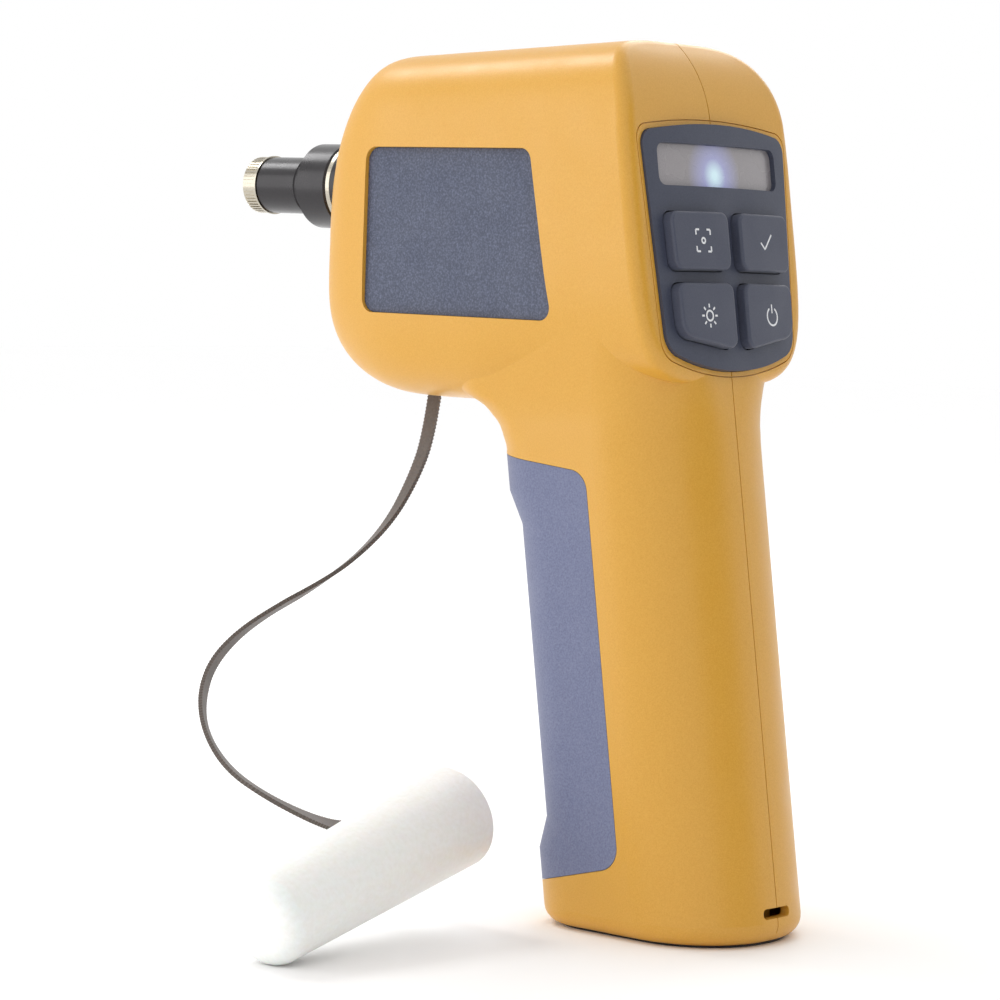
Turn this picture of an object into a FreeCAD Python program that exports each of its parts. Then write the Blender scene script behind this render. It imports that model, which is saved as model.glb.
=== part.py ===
import FreeCAD, Part
import math
import os
import re
import Sketcher
from FreeCAD import Placement, Rotation, Vector

# A hand-held fibre inspection camera with a pistol grip.
# X points to the user's right, Y forward along the probe and Z up. The origin is the centre
# of the base that the handle stands on. All sizes are in millimetres and degrees.

document = FreeCAD.newDocument("inspection_camera")
sheet = document.addObject("Spreadsheet::Sheet", "sizes")

SIZES = {
    # Housing: a boxy head on a handle that leans back.
    "axis_height": 157.8,
    "head_rise": 32.5,
    "head_fall": 4.1,
    "head_drop": 46.5,
    "head_reach": 91.05,
    "head_half_width": 28.9,
    "head_roundness": 4.3,
    "nose_top_round": 33.3,
    "nose_top_length": 17.4,
    "nose_low_round": 15.8,
    "nose_low_length": 23.5,
    "nose_side_round": 9.6,
    "nose_side_length": 29.8,
    "chin_rise": 6.0,
    "chin_end": 48.0,
    "chin_length": 32.0,
    "brow_start": 17.5,
    "brow_radius": 26.7,
    "rear_edge_round": 3.0,
    "lean": 8.9,
    "wall": 2.1,
    "handle_half_width": 22.7,
    "handle_depth": 52.4,
    "handle_rear_radius": 21.5,
    "handle_front_radius": 13.0,
    "foot_round": 4.0,
    "neck_height": 10.5,
    "neck_reach": 9.0,
    "neck_level": 3.3,
    "neck_blend": 23.0,
    "neck_flare": 5.25,
    "neck_top": 31.0,
    "fit": 0.1,
    "seam_gap": 0.24,
    # Rubber foot, lanyard slot and data socket in the base.
    "foot_stand": 0.4,
    "foot_seat": 0.8,
    "foot_inset": 3.6,
    "lanyard_width": 9.0,
    "lanyard_slot": 2.2,
    "lanyard_height": 7.0,
    "lanyard_pin_radius": 0.8,
    "socket_width": 8.94,
    "socket_thickness": 3.2,
    "socket_depth": 7.4,
    "socket_setback": 9.0,
    "socket_wall": 0.3,
    "port_board_width": 18.0,
    "port_board_length": 16.0,
    "board_thickness": 1.6,
    # Side panels, let into flat recesses in the head.
    "panel_setback": 16.9,
    "panel_above": 8.1,
    "panel_below": 28.0,
    "panel_length": 47.6,
    "panel_slant": 7.1,
    "panel_depth": 2.0,
    "panel_thickness": 0.8,
    "panel_corner": 3.0,
    # Soft grip let into the front of the handle, with a finger hollow.
    "grip_gap": 2.8,
    "grip_bottom": 15.5,
    "grip_top_slant": 5.3,
    "grip_bottom_slant": 14.6,
    "grip_setback": 24.0,
    "grip_corner": 5.0,
    "grip_side_thickness": 1.6,
    "grip_front_thickness": 4.2,
    "finger_depth": 2.8,
    "finger_end": 5.5,
    "finger_bottom": 16.0,
    "finger_step": 7.0,
    # Keypad on the leaning rear face of the head.
    "keypad_drop": 11.8,
    "bezel_half_width": 24.6,
    "bezel_foot_half_width": 22.3,
    "bezel_top": 26.4,
    "bezel_bottom": 26.0,
    "bezel_top_sag": 1.8,
    "bezel_bottom_sag": 4.2,
    "bezel_bow": 1.4,
    "bezel_thickness": 2.6,
    "bezel_proud": 0.5,
    "bezel_corner": 3.5,
    "bezel_frame": 1.8,
    "rim_gap": 1.05,
    "rim_width": 0.2,
    "rim_depth": 0.5,
    "window_half_width": 20.5,
    "window_bottom": 13.0,
    "window_top": 22.0,
    "window_thickness": 1.6,
    "window_corner": 2.0,
    "key_inner": 1.9,
    "key_outer": 20.4,
    "key_low": -21.8,
    "key_split": -7.6,
    "key_mid": -4.9,
    "key_high": 7.4,
    "key_rise": 2.3,
    "key_corner": 2.2,
    "key_edge": 0.7,
    "key_lip": 0.7,
    "key_lip_thickness": 1.0,
    "key_gap": 0.25,
    "key_travel": 0.7,
    "switch_width": 6.0,
    "switch_height": 1.2,
    "post_radius": 1.5,
    "post_spacing": 14.0,
    "post_height": 10.2,
    "lamp_width": 3.0,
    # Probe: flange, lens barrel, tip barrel and knurled nut.
    "flange_length": 12.9,
    "flange_radius": 9.8,
    "flange_bore": 8.0,
    "shoulder_radius": 12.0,
    "shoulder_length": 1.5,
    "groove_depth": 0.5,
    "groove_width": 0.8,
    "barrel_radius": 9.75,
    "barrel_length": 9.0,
    "barrel_bore": 5.0,
    "spigot_length": 12.0,
    "tip_radius": 6.55,
    "tip_length": 16.0,
    "tip_spigot_radius": 6.0,
    "tip_spigot_length": 6.0,
    "tip_bore": 3.6,
    "tip_ring_place": 3.5,
    "tip_ring_height": 0.25,
    "tip_ring_width": 0.6,
    "neck_radius": 4.25,
    "neck_length": 2.2,
    "nut_radius": 6.6,
    "nut_length": 4.9,
    "nut_flange_radius": 6.85,
    "nut_flange_width": 0.6,
    "nut_chamfer": 0.6,
    "nut_lip": 1.3,
    "knurl_count": 48,
    "knurl_depth": 0.28,
    "knurl_width": 0.34,
    "thread_pitch": 0.5,
    "running_fit": 0.05,
    "guide_radius": 2.45,
    "guide_flange_radius": 3.9,
    "guide_flange": 1.0,
    "guide_nose": 2.0,
    "guide_tail": 5.0,
    "guide_stem_radius": 3.55,
    "ferrule_bore": 1.27,
    # Optics and focus drive on a chassis inside the head.
    "chassis_gap": 10.0,
    "chassis_length": 63.0,
    "chassis_half_width": 14.0,
    "chassis_wall": 3.0,
    "chassis_plate": 3.0,
    "chassis_drop": 21.0,
    "chassis_rise": 10.0,
    "chassis_mid": 41.0,
    "light_bore": 4.5,
    "rod_radius": 1.0,
    "rod_spacing": 10.5,
    "screw_drop": 12.8,
    "screw_radius": 1.5,
    "screw_end": 1.5,
    "motor_radius": 5.0,
    "motor_length": 16.0,
    "carriage_length": 10.0,
    "carriage_place": 17.5,
    "carriage_half_width": 13.0,
    "carriage_rise": 8.0,
    "carriage_drop": 16.0,
    "carriage_bore": 6.0,
    "focus_lens_thickness": 4.0,
    "lens_bulge": 1.2,
    "cell_length": 12.0,
    "cell_bore": 3.6,
    "objective_thickness": 3.0,
    "splitter_size": 10.0,
    "splitter_place": 9.0,
    "shelf_thickness": 2.0,
    "lamp_board": 1.2,
    "sensor_board": 11.0,
    "sensor_size": 4.0,
    # Electronics and battery.
    "main_board_half_width": 19.0,
    "main_board_start": 22.0,
    "main_board_length": 52.0,
    "main_board_rise": 8.7,
    "chip_size": 12.0,
    "chip_height": 1.4,
    "cell_radius": 9.2,
    "cell_height": 65.0,
    "cell_start": 30.0,
    "cell_depth": 22.0,
    "cradle_half_width": 11.0,
    "cradle_floor": 2.0,
    "cradle_back": 6.9,
    "weight_low": 11.8,
    "weight_height": 12.0,
    "weight_front": 6.0,
    # Screws that hold the two halves together, and their bosses.
    "boss_radius": 3.4,
    "boss_setback": 12.0,
    "boss_drop": 2.0,
    "boss_low": 18.0,
    "boss_middle": 60.0,
    "pilot_radius": 1.25,
    "pilot_depth": 6.0,
    "shank_length": 20.0,
    "screw_seat": 15.0,
    "screw_head_radius": 2.4,
    "screw_head_height": 1.8,
    "counterbore_radius": 2.9,
    # Tether strap and cap.
    "strap_width": 3.2,
    "anchor_setback": 14.95,
    "anchor_recess": 0.2,
    "anchor_pad_height": 6.0,
    "anchor_pad_radius": 4.2,
    "anchor_collar": 1.2,
    "anchor_collar_thickness": 1.6,
    "press_depth": 0.3,
    "cap_length": 67.0,
    "cap_end_radius": 9.3,
    "cap_mouth_radius": 11.4,
    "cap_wall": 1.3,
    "cap_round": 4.0,
    "cap_turn": 6.5,
    "cap_tilt": 12.5,
    "cap_x": -101.2,
    "cap_y": 28.6,
    "lug_place": 50.0,
    "lug_length": 6.0,
    "lug_margin": 0.8,
}

for row, (alias, number) in enumerate(SIZES.items(), start=1):
    sheet.set(f"A{row}", alias.replace("_", " "))
    sheet.set(f"B{row}", str(number))
    sheet.setAlias(f"B{row}", alias)
document.recompute()

# Places that follow from the driving sizes, each worked out once.
layout = document.addObject("App::VarSet", "layout")
DERIVED = {}


def link(text):
    """Point each plain name in an expression at its cell or at its derived place."""

    def owner(match):
        word = match.group(0)
        if word in SIZES:
            return "sizes." + word
        if word in DERIVED:
            return "layout." + word
        return word

    return re.sub(r"(?<![\w.])[a-z_]+(?![\w.(])", owner, text)


def derive(name, text):
    """Add a derived place and compute it."""
    layout.addProperty("App::PropertyFloat", name)
    DERIVED[name] = text
    layout.setExpression(name, link(text))
    document.recompute()


def read(name):
    """The value of a size or a derived place."""
    if name in SIZES:
        return float(sheet.get(name))
    return float(getattr(layout, name))


derive("slope", "tan(lean * 1 deg)")
derive("heel", "handle_depth / 2")
derive("head_top", "axis_height + head_rise")
derive("head_under", "axis_height - head_drop")
derive("neck_start", "axis_height - head_drop - neck_height")
derive("keypad_centre", "axis_height - keypad_drop")
derive("keypad_y", "keypad_centre * slope - heel")
derive("grip_top", "neck_start - grip_gap")
derive("finger_top", "grip_top - finger_end")
derive("main_board_height", "head_under + main_board_rise")
derive("flange_end", "head_reach + flange_length")
derive("barrel_end", "flange_end + barrel_length")
derive("tip_end", "barrel_end + tip_length")
derive("nut_end", "tip_end + nut_length")
derive("chassis_front", "head_reach - chassis_gap")
derive("chassis_rear", "chassis_front - chassis_length")
derive("mid_wall", "chassis_front - chassis_mid")
derive("chassis_floor", "axis_height - chassis_drop")
derive("drive_height", "axis_height - screw_drop")
derive("key_floor", "bezel_proud - bezel_thickness")
derive("key_back", "key_floor - key_lip_thickness")
derive("board_front", "key_back - key_travel - fit - switch_height")
derive("keypad_taper", "(bezel_half_width - bezel_foot_half_width) / (bezel_top + bezel_bottom)")
derive("socket_low", "foot_stand / 2")
derive("panel_front", "head_reach - panel_setback")
derive("panel_plane", "head_half_width - panel_depth")
derive("strap_y", "head_reach - anchor_setback")
derive("cap_taper", "(cap_mouth_radius - cap_end_radius) / cap_length")
derive("cap_edge", "cap_end_radius - cap_round * (sqrt(1 + cap_taper * cap_taper) - cap_taper)")
derive("cap_rest_height", "cap_edge * cos(cap_tilt * 1 deg) + cap_round * (1 - sin(cap_tilt * 1 deg))")

pieces = []


def node(item, label):
    """Give a finished sub-part its own label and put it on the list to write."""
    item.Label = label
    pieces.append(item)
    return item


def bind(item, **expressions):
    """Bind properties to the sheet; a double underscore stands for a dot."""
    for name, text in expressions.items():
        item.setExpression(name.replace("__", "."), link(text))
    return item


def box(name, x, y, z):
    """A box between two expressions along each axis."""
    item = document.addObject("Part::Box", name)
    bind(item, Length=f"({x[1]}) - ({x[0]})", Width=f"({y[1]}) - ({y[0]})", Height=f"({z[1]}) - ({z[0]})")
    return bind(item, Placement__Base__x=x[0], Placement__Base__y=y[0], Placement__Base__z=z[0])


def rod(name, radius, y, x="0", z="axis_height"):
    """A cylinder that lies along Y."""
    item = document.addObject("Part::Cylinder", name)
    item.Placement = Placement(Vector(), Rotation(Vector(1, 0, 0), -90))
    bind(item, Radius=radius, Height=f"({y[1]}) - ({y[0]})")
    return bind(item, Placement__Base__x=x, Placement__Base__y=y[0], Placement__Base__z=z)


def fuse(name, *shapes):
    item = document.addObject("Part::MultiFuse", name)
    item.Shapes = list(shapes)
    return item


def cut(name, base, *tools):
    item = document.addObject("Part::Cut", name)
    item.Base = base
    item.Tool = tools[0] if len(tools) == 1 else fuse(name + "_tools", *tools)
    return item


def solid(name, shape):
    """A shape worked out by this script from the sheet."""
    item = document.addObject("Part::Feature", name)
    item.Shape = shape
    return item


def origin_plane(body, role):
    return next(item for item in body.Origin.OriginFeatures if item.Role == role)


def outline(body, name, role, corners):
    """A closed sketch whose corners are pairs of expressions."""
    sketch = body.newObject("Sketcher::SketchObject", name)
    sketch.AttachmentSupport = [(origin_plane(body, role), "")]
    sketch.MapMode = "FlatFace"
    spots = [Vector(20.0 * math.cos(i), 20.0 * math.sin(i), 0) for i in range(len(corners))]
    for i, spot in enumerate(spots):
        sketch.addGeometry(Part.LineSegment(spot, spots[(i + 1) % len(spots)]))
    for i, corner in enumerate(corners):
        sketch.addConstraint(Sketcher.Constraint("Coincident", i, 2, (i + 1) % len(corners), 1))
        for kind, text in zip(("DistanceX", "DistanceY"), corner):
            at = sketch.addConstraint(Sketcher.Constraint(kind, -1, 1, i, 1, 1.0))
            sketch.setExpression(f"Constraints[{at}]", link(text))
    return sketch


def turned(name, profile, height="axis_height"):
    """A body turned about Y from (radius, y) corners."""
    body = document.addObject("PartDesign::Body", name)
    sketch = outline(body, name + "_profile", "XY_Plane", profile)
    turn = body.newObject("PartDesign::Revolution", name + "_turn")
    turn.Profile = sketch
    turn.ReferenceAxis = (sketch, ["V_Axis"])
    turn.Angle = 360
    return bind(body, Placement__Base__z=height) if height else body


def plate(name, corners, length, role="XY_Plane"):
    """A body padded from an outline."""
    body = document.addObject("PartDesign::Body", name)
    sketch = outline(body, name + "_outline", role, corners)
    pad = body.newObject("PartDesign::Pad", name + "_pad")
    pad.Profile = sketch
    bind(pad, Length=length)
    return body


def rounded(body, name, radius, chosen):
    """Round the edges of a body that a test picks."""
    document.recompute()
    base = body.Tip
    edges = [f"Edge{i}" for i, edge in enumerate(base.Shape.Edges, start=1) if chosen(edge)]
    fillet = body.newObject("PartDesign::Fillet", name)
    fillet.Base = (base, edges)
    bind(fillet, Radius=radius)
    return body


def rectangle(left, right, bottom, top):
    return [(left, bottom), (right, bottom), (right, top), (left, top)]


# Outer forms of the housing. The head is a row of rounded rings along Y, trimmed by its side
# view, and the handle a stack of level outlines. An inset makes the inside from the same functions.


RING_POINTS = 40
REAR_SHARES = (-0.36, -0.14, 0.08, 0.3, 0.5, 0.7, 0.86)
NOSE_SHARES = (1.0, 0.8, 0.62, 0.46, 0.32, 0.2, 0.11, 0.045, 0.01, 0.0)
NECK_STEPS = 14
NECK_SLOPE = 0.96
BROW_END = math.radians(65.0)
WIDE = 60.0


def rear_line(height):
    return height * read("slope") - read("heel")


def ellipse_drop(distance, length, amount):
    """How far a rounded end falls away, at a distance from it."""
    short = max(0.0, 1.0 - distance / length)
    return amount * (1.0 - math.sqrt(1.0 - short * short))


def eased(share):
    """A smooth step from nought to one."""
    share = min(max(share, 0.0), 1.0)
    return share * share * (3.0 - 2.0 * share)


def head_ring(station, inset):
    """One closed ring of the head at a place along Y."""
    ahead = read("head_reach") - inset - station
    side = (
        read("head_half_width")
        - inset
        - ellipse_drop(ahead, read("nose_side_length"), read("nose_side_round"))
    )
    top = (
        read("head_top")
        - inset
        - read("head_fall") * station / read("head_reach")
        - ellipse_drop(ahead, read("nose_top_length"), read("nose_top_round"))
    )
    under = (
        read("head_under")
        + inset
        + read("chin_rise") * eased((read("chin_end") - station) / read("chin_length"))
        + ellipse_drop(ahead, read("nose_low_length"), read("nose_low_round"))
    )
    middle, half = (top + under) / 2.0, (top - under) / 2.0
    power = 2.0 / read("head_roundness")
    points = []
    for step in range(RING_POINTS):
        angle = 2.0 * math.pi * step / RING_POINTS - math.pi / 2.0
        c, s = math.cos(angle), math.sin(angle)
        x = side * math.copysign(abs(c) ** power, c)
        z = middle + half * math.copysign(abs(s) ** power, s)
        points.append(Vector(x, station, z))
    curve = Part.BSplineCurve()
    curve.interpolate(Points=points, PeriodicFlag=True)
    return Part.Wire(curve.toShape())


def arc(start, middle, end):
    return Part.Arc(start, middle, end).toShape()


def line(start, end):
    return Part.LineSegment(start, end).toShape()


def rear_profile(inset):
    """The side view behind which the head stops: the keypad plane and the arc of the brow."""
    lean = math.radians(read("lean"))
    along, inward = Vector(0, math.sin(lean), math.cos(lean)), Vector(0, math.cos(lean), -math.sin(lean))
    brow_height = read("head_top") - read("brow_start")
    brow = Vector(-WIDE, rear_line(brow_height), brow_height)
    centre, radius = brow + inward * read("brow_radius"), read("brow_radius") - inset
    turns = [Vector(0, -math.cos(turn), math.sin(turn)) for turn in (lean, 0.5 * (lean + BROW_END), BROW_END)]
    crown = [centre + turn * radius for turn in turns]
    tip = crown[2] + Vector(0, math.sin(BROW_END), math.cos(BROW_END)) * WIDE
    low = crown[0] - along * 2.0 * WIDE
    ahead = Vector(-WIDE, 4.0 * WIDE, tip.z)
    floor = Vector(-WIDE, 4.0 * WIDE, low.z)
    edges = [line(low, crown[0]), arc(*crown), line(crown[2], tip)]
    edges += [line(tip, ahead), line(ahead, floor), line(floor, low)]
    return Part.Face(Part.Wire(edges)).extrude(Vector(2.0 * WIDE, 0, 0))


def head_form(inset=0.0):
    """The head, smaller all round by the inset."""
    front = read("head_reach") - inset
    nose = max(read("nose_side_length"), read("nose_low_length"), read("nose_top_length"))
    stations = [share * (front - nose) for share in REAR_SHARES]
    stations += [front - share * nose for share in NOSE_SHARES]
    row = Part.makeLoft([head_ring(station, inset) for station in stations], True, False)
    return row.common(rear_profile(inset))


def handle_outline(height, side, rear, front, extra_width=0.0, squaring=0.0, reach=0.0):
    """A level outline of the handle, with insets for its sides, rear and front."""
    half = read("handle_half_width") - side + extra_width
    back = rear_line(height) + rear
    nose = rear_line(height) + read("handle_depth") - front + reach
    heel_radius = read("handle_rear_radius") - side - squaring
    toe_radius = read("handle_front_radius") - min(side, front)
    diagonal = math.sqrt(0.5)
    spots = []
    for x_sign, y_mid, y_sign, radius in (
        (-1, back + heel_radius, -1, heel_radius),
        (-1, nose - toe_radius, 1, toe_radius),
        (1, nose - toe_radius, 1, toe_radius),
        (1, back + heel_radius, -1, heel_radius),
    ):
        centre = Vector(x_sign * (half - radius), y_mid, height)
        along_x = centre + Vector(x_sign * radius, 0, 0)
        along_y = centre + Vector(0, y_sign * radius, 0)
        between = centre + Vector(x_sign * radius, y_sign * radius, 0) * diagonal
        turn = (along_y, between, along_x) if x_sign * y_sign > 0 else (along_x, between, along_y)
        spots.append(turn)
    edges = []
    for i, turn in enumerate(spots):
        edges.append(arc(*turn))
        edges.append(line(turn[2], spots[(i + 1) % len(spots)][0]))
    return Part.Wire(edges)


def neck_growth(height):
    """How far the neck flares forward and sideways at a height, and how square its rear is."""
    share = (height - read("neck_start")) / read("neck_height")
    inner = min(max(share, 0.0), 0.9)
    reach = read("neck_reach") * (1.0 - math.sqrt(1.0 - inner * inner))
    reach += read("neck_reach") * 2.0 * min(max(share - 0.9, 0.0), 0.4)
    rise = min(max(0.0, (height - read("head_under") + read("neck_level")) / read("neck_blend")), 1.0)
    flare = read("neck_flare") * (rise * rise * (2.0 - rise) + (1.0 - NECK_SLOPE) * rise * rise * (1.0 - rise))
    return reach, flare, max(share, 0.0)


def handle_form(side, rear, front, bottom, dipped):
    """The handle with its neck, from a bottom height up into the head."""
    start = read("neck_start")
    dips = [(bottom, 0.0), (start, 0.0)]
    if dipped:
        low, high, step = read("finger_bottom"), read("finger_top"), read("finger_step")
        dips[1:1] = [(low, 0.0), (low + step, 1.0), (high - step, 1.0), (high, 0.0)]
    grip = [
        handle_outline(height, side, rear, front + share * read("finger_depth")) for height, share in dips
    ]
    lower = Part.makeLoft(grip, True, True)
    neck = []
    for step in range(NECK_STEPS + 1):
        height = start + read("neck_top") * step / NECK_STEPS
        reach, flare, share = neck_growth(height)
        neck.append(handle_outline(height, side, rear, front, flare, share * share, reach))
    return lower, Part.makeLoft(neck, True, False)


def rounded_loop(corners, radii):
    """A closed flat wire through corners, each turned by an arc of its radius."""
    edges, ends = [], []
    for i, corner in enumerate(corners):
        to_last = (corners[i - 1] - corner).normalize()
        to_next = (corners[(i + 1) % len(corners)] - corner).normalize()
        half = to_last.getAngle(to_next) / 2.0
        reach = radii[i] / math.tan(half)
        middle = corner + (to_last + to_next).normalize() * (radii[i] / math.sin(half) - radii[i])
        ends.append((corner + to_last * reach, middle, corner + to_next * reach))
    for i, turn in enumerate(ends):
        edges.append(arc(*turn))
        edges.append(line(turn[2], ends[(i + 1) % len(ends)][0]))
    return Part.Wire(edges)


def side_prism(corners, radii, low, high):
    """A prism along X whose (y, z) corners are rounded."""
    wire = rounded_loop([Vector(low, y, z) for y, z in corners], radii)
    return Part.Face(wire).extrude(Vector(high - low, 0, 0))


def x_rod(radius, low, high, y, z):
    return Part.makeCylinder(radius, high - low, Vector(low, y, z), Vector(1, 0, 0))


def block(x, y, z):
    return Part.makeBox(x[1] - x[0], y[1] - y[0], z[1] - z[0], Vector(x[0], y[0], z[0]))


# Housing halves: two moulded shells that meet on the middle plane.

foot_height = read("foot_stand")
wall = read("wall")
skin = 0.8

grip_side, grip_front = read("grip_side_thickness"), read("grip_front_thickness")
head_outer = head_form()
rear_edges = [
    edge
    for edge in head_outer.Edges
    if edge.BoundBox.YMax < read("brow_radius") and edge.BoundBox.ZLength > read("rear_edge_round")
]
head_outer = head_outer.makeFillet(read("rear_edge_round"), rear_edges)
lower_outer, neck_outer = handle_form(0.0, 0.0, 0.0, foot_height, True)
bottom_edges = [
    edge for edge in lower_outer.Edges if all(abs(v.Point.z - foot_height) < 0.01 for v in edge.Vertexes)
]
lower_outer = lower_outer.makeFillet(read("foot_round"), bottom_edges)
outer = lower_outer.fuse([neck_outer, head_outer])

lower_hollow, neck_hollow = handle_form(
    grip_side + wall - 0.3, wall, grip_front + wall - 0.5, foot_height + wall, False
)
hollow = lower_hollow.fuse([neck_hollow, head_form(wall)])
lower_trim, neck_trim = handle_form(skin, skin, grip_front + skin, foot_height + skin, False)
trim = lower_trim.fuse([neck_trim, head_form(skin)])


def panel_corners(grow=0.0):
    """The side panel's corners in the (y, z) plane, grown all round."""
    front = read("panel_front") + grow
    rear = read("panel_front") - read("panel_length") - grow
    top = read("axis_height") + read("panel_above") + grow
    bottom = read("axis_height") - read("panel_below") - grow
    return [(front, bottom), (front, top), (rear, top), (rear - read("panel_slant"), bottom)]


panel_floor = read("panel_plane") - read("panel_thickness")
panel_radii = [read("panel_corner")] * 4
for sign in (-1, 1):
    backing = side_prism(panel_corners(2.0), panel_radii, sign * (panel_floor - wall), sign * WIDE)
    hollow = hollow.cut(backing)

# Screw bosses, as (y, z) places on the middle plane.
rear_clear = read("wall") + read("boss_radius") + 1.0
handle_front = rear_line(read("boss_middle")) + read("handle_depth") - grip_front - wall - rear_clear + 1.0
upper_boss = read("neck_start") - read("boss_drop")
boss_places = [
    (read("chassis_front") + 0.5, read("head_under") + 17.0),
    (read("chassis_rear") + 5.0, read("axis_height") + 20.5),
    (read("chassis_front") - 11.0, read("axis_height") + 19.5),
    (rear_line(upper_boss) + read("boss_setback"), upper_boss),
    (handle_front, read("boss_middle")),
    (rear_line(read("boss_low")) + read("boss_setback"), read("boss_low")),
]

chassis_side, plate_top = read("chassis_half_width"), read("chassis_floor") + read("chassis_plate")
board_low = read("main_board_height")
shelf_boxes = []
for y in (read("mid_wall") + 6.0, read("chassis_front") - 9.0):
    shelf_boxes.append(((chassis_side, WIDE), (y, y + 4.0), (read("chassis_floor") - 3.0, plate_top + 3.0)))
for y in (read("main_board_start") + 4.0, read("main_board_start") + read("main_board_length") - 8.0):
    shelf_boxes.append(((12.0, WIDE), (y, y + 4.0), (read("head_under") - 2.0, board_low)))
port_low = read("socket_low") + read("socket_depth")
port_ribs = (port_low - 1.5, port_low + read("board_thickness") + 1.5)
port_rib_y = (-read("socket_setback") - 3.0, -read("socket_setback") + 3.0)
shelf_boxes.append(((read("port_board_width") / 2.0, WIDE), port_rib_y, port_ribs))

lean_place = Placement(Vector(0, -read("heel"), 0), Rotation(Vector(1, 0, 0), -read("lean")))
cradle_ribs = []
for share in (0.12, 0.8):
    rib_low = read("cell_start") + share * read("cell_height")
    rib = block((read("cradle_half_width"), WIDE), (14.0, 18.0), (rib_low, rib_low + 4.0))
    rib.Placement = lean_place
    cradle_ribs.append(rib)

lanyard_y = rear_line(read("lanyard_height")) + wall + 2.2
lanyard_top = read("lanyard_height") + read("lanyard_slot") / 2.0 + 1.5
lanyard_rib = block((-WIDE, WIDE), (-WIDE, lanyard_y + 2.0), (lanyard_top, lanyard_top + 1.6))

ribs = [block(*sizes) for sizes in shelf_boxes] + cradle_ribs
ribs += [rib.mirror(Vector(), Vector(1, 0, 0)) for rib in ribs]
boss = read("boss_radius")
ribs += [x_rod(boss, -WIDE, WIDE, y, z) for y, z in boss_places]
lanyard_slab = lanyard_rib.common(block((-5.5, 5.5), (-WIDE, WIDE), (0.0, WIDE)))
ribs.append(lanyard_slab)
ribs.append(block((-5.5, 5.5), (lanyard_y + 1.7, lanyard_y + 3.0), (foot_height, lanyard_top + 1.6)))
anchor_spot = Vector(0, read("strap_y"), read("head_under"))
ribs.append(Part.makeCylinder(read("anchor_pad_radius"), read("anchor_pad_height"), anchor_spot))
shell = outer.cut(hollow).fuse([rib.common(trim) for rib in ribs])

# Openings that both halves share: keypad, side panels, grip, probe, strap, foot and lanyard.
keypad_place = Placement(
    Vector(0, read("keypad_y"), read("keypad_centre")), Rotation(Vector(1, 0, 0), 90.0 - read("lean"))
)


def keypad_outline(shrink):
    """The bezel's outline in the keypad plane, narrower at its foot, its ends bowed."""
    corner = read("bezel_corner")
    half, foot = read("bezel_half_width") - shrink, read("bezel_foot_half_width") - shrink
    top, bottom = read("bezel_top") - shrink, -read("bezel_bottom") + shrink
    shoulder, hip = top - read("bezel_top_sag"), bottom + read("bezel_bottom_sag")
    right = [
        Vector(foot - corner, hip - corner * 0.25, 0),
        Vector(foot - corner * 0.26, hip + corner * 0.35, 0),
        Vector(foot, hip + corner * 1.1, 0),
        Vector(half, shoulder - corner, 0),
        Vector(half - corner * 0.28, shoulder - corner * 0.24, 0),
        Vector(half - corner, shoulder + corner * 0.07, 0),
    ]
    left = [Vector(-spot.x, spot.y, 0) for spot in reversed(right)]
    edges = [
        arc(*right[:3]),
        line(right[2], right[3]),
        arc(*right[3:]),
        arc(right[5], Vector(0, top, 0), left[0]),
        arc(*left[:3]),
        line(left[2], left[3]),
        arc(*left[3:]),
        arc(left[5], Vector(0, bottom, 0), right[0]),
    ]
    return Part.Wire(edges)


def keypad_prism(shrink, low, high):
    """A prism of the bezel's outline, square to the keypad plane."""
    prism = Part.Face(keypad_outline(shrink)).extrude(Vector(0, 0, high - low))
    prism.Placement = Placement(keypad_place.multVec(Vector(0, 0, low)), keypad_place.Rotation)
    return prism


def grip_prism(grow):
    """The side view of the grip, as a prism across the handle."""
    top_low = read("grip_top") + grow
    bottom_high = read("grip_bottom") - grow
    rear_top = rear_line(top_low) + read("grip_setback") - grow
    rear_bottom = rear_line(bottom_high) + read("grip_setback") - grow
    ahead = 60.0
    rise = ahead * math.tan(math.radians(read("grip_top_slant")))
    fall = ahead * math.tan(math.radians(read("grip_bottom_slant")))
    corners = [
        (rear_bottom, bottom_high),
        (rear_bottom + ahead, bottom_high - fall),
        (rear_top + ahead, top_low + rise),
        (rear_top, top_low),
    ]
    corner = read("grip_corner")
    return side_prism(corners, [corner, 1.0, 1.0, corner], -WIDE, WIDE)


lower_core, neck_core = handle_form(grip_side, 0.0, grip_front, foot_height - 1.0, False)
core = lower_core.fuse(neck_core)
fit = read("fit")
axis = read("axis_height")
shell = shell.cut(grip_prism(fit).cut(core))
shell = shell.cut(keypad_prism(-fit, read("key_floor"), 20.0))
shell = shell.cut(keypad_prism(read("bezel_frame"), -12.0, 1.0))
rim_inner, rim_outer = -read("rim_gap"), -read("rim_gap") - read("rim_width")
shell = shell.cut(keypad_prism(rim_outer, -read("rim_depth"), 1.0).cut(keypad_prism(rim_inner, -2.0, 2.0)))
for sign in (-1, 1):
    shell = shell.cut(side_prism(panel_corners(fit), panel_radii, sign * panel_floor, sign * WIDE))
probe_hole = Part.makeCylinder(
    read("flange_radius") + fit, 40.0, Vector(0, read("chassis_front"), axis), Vector(0, 1, 0)
)
shell = shell.cut(probe_hole)

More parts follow.
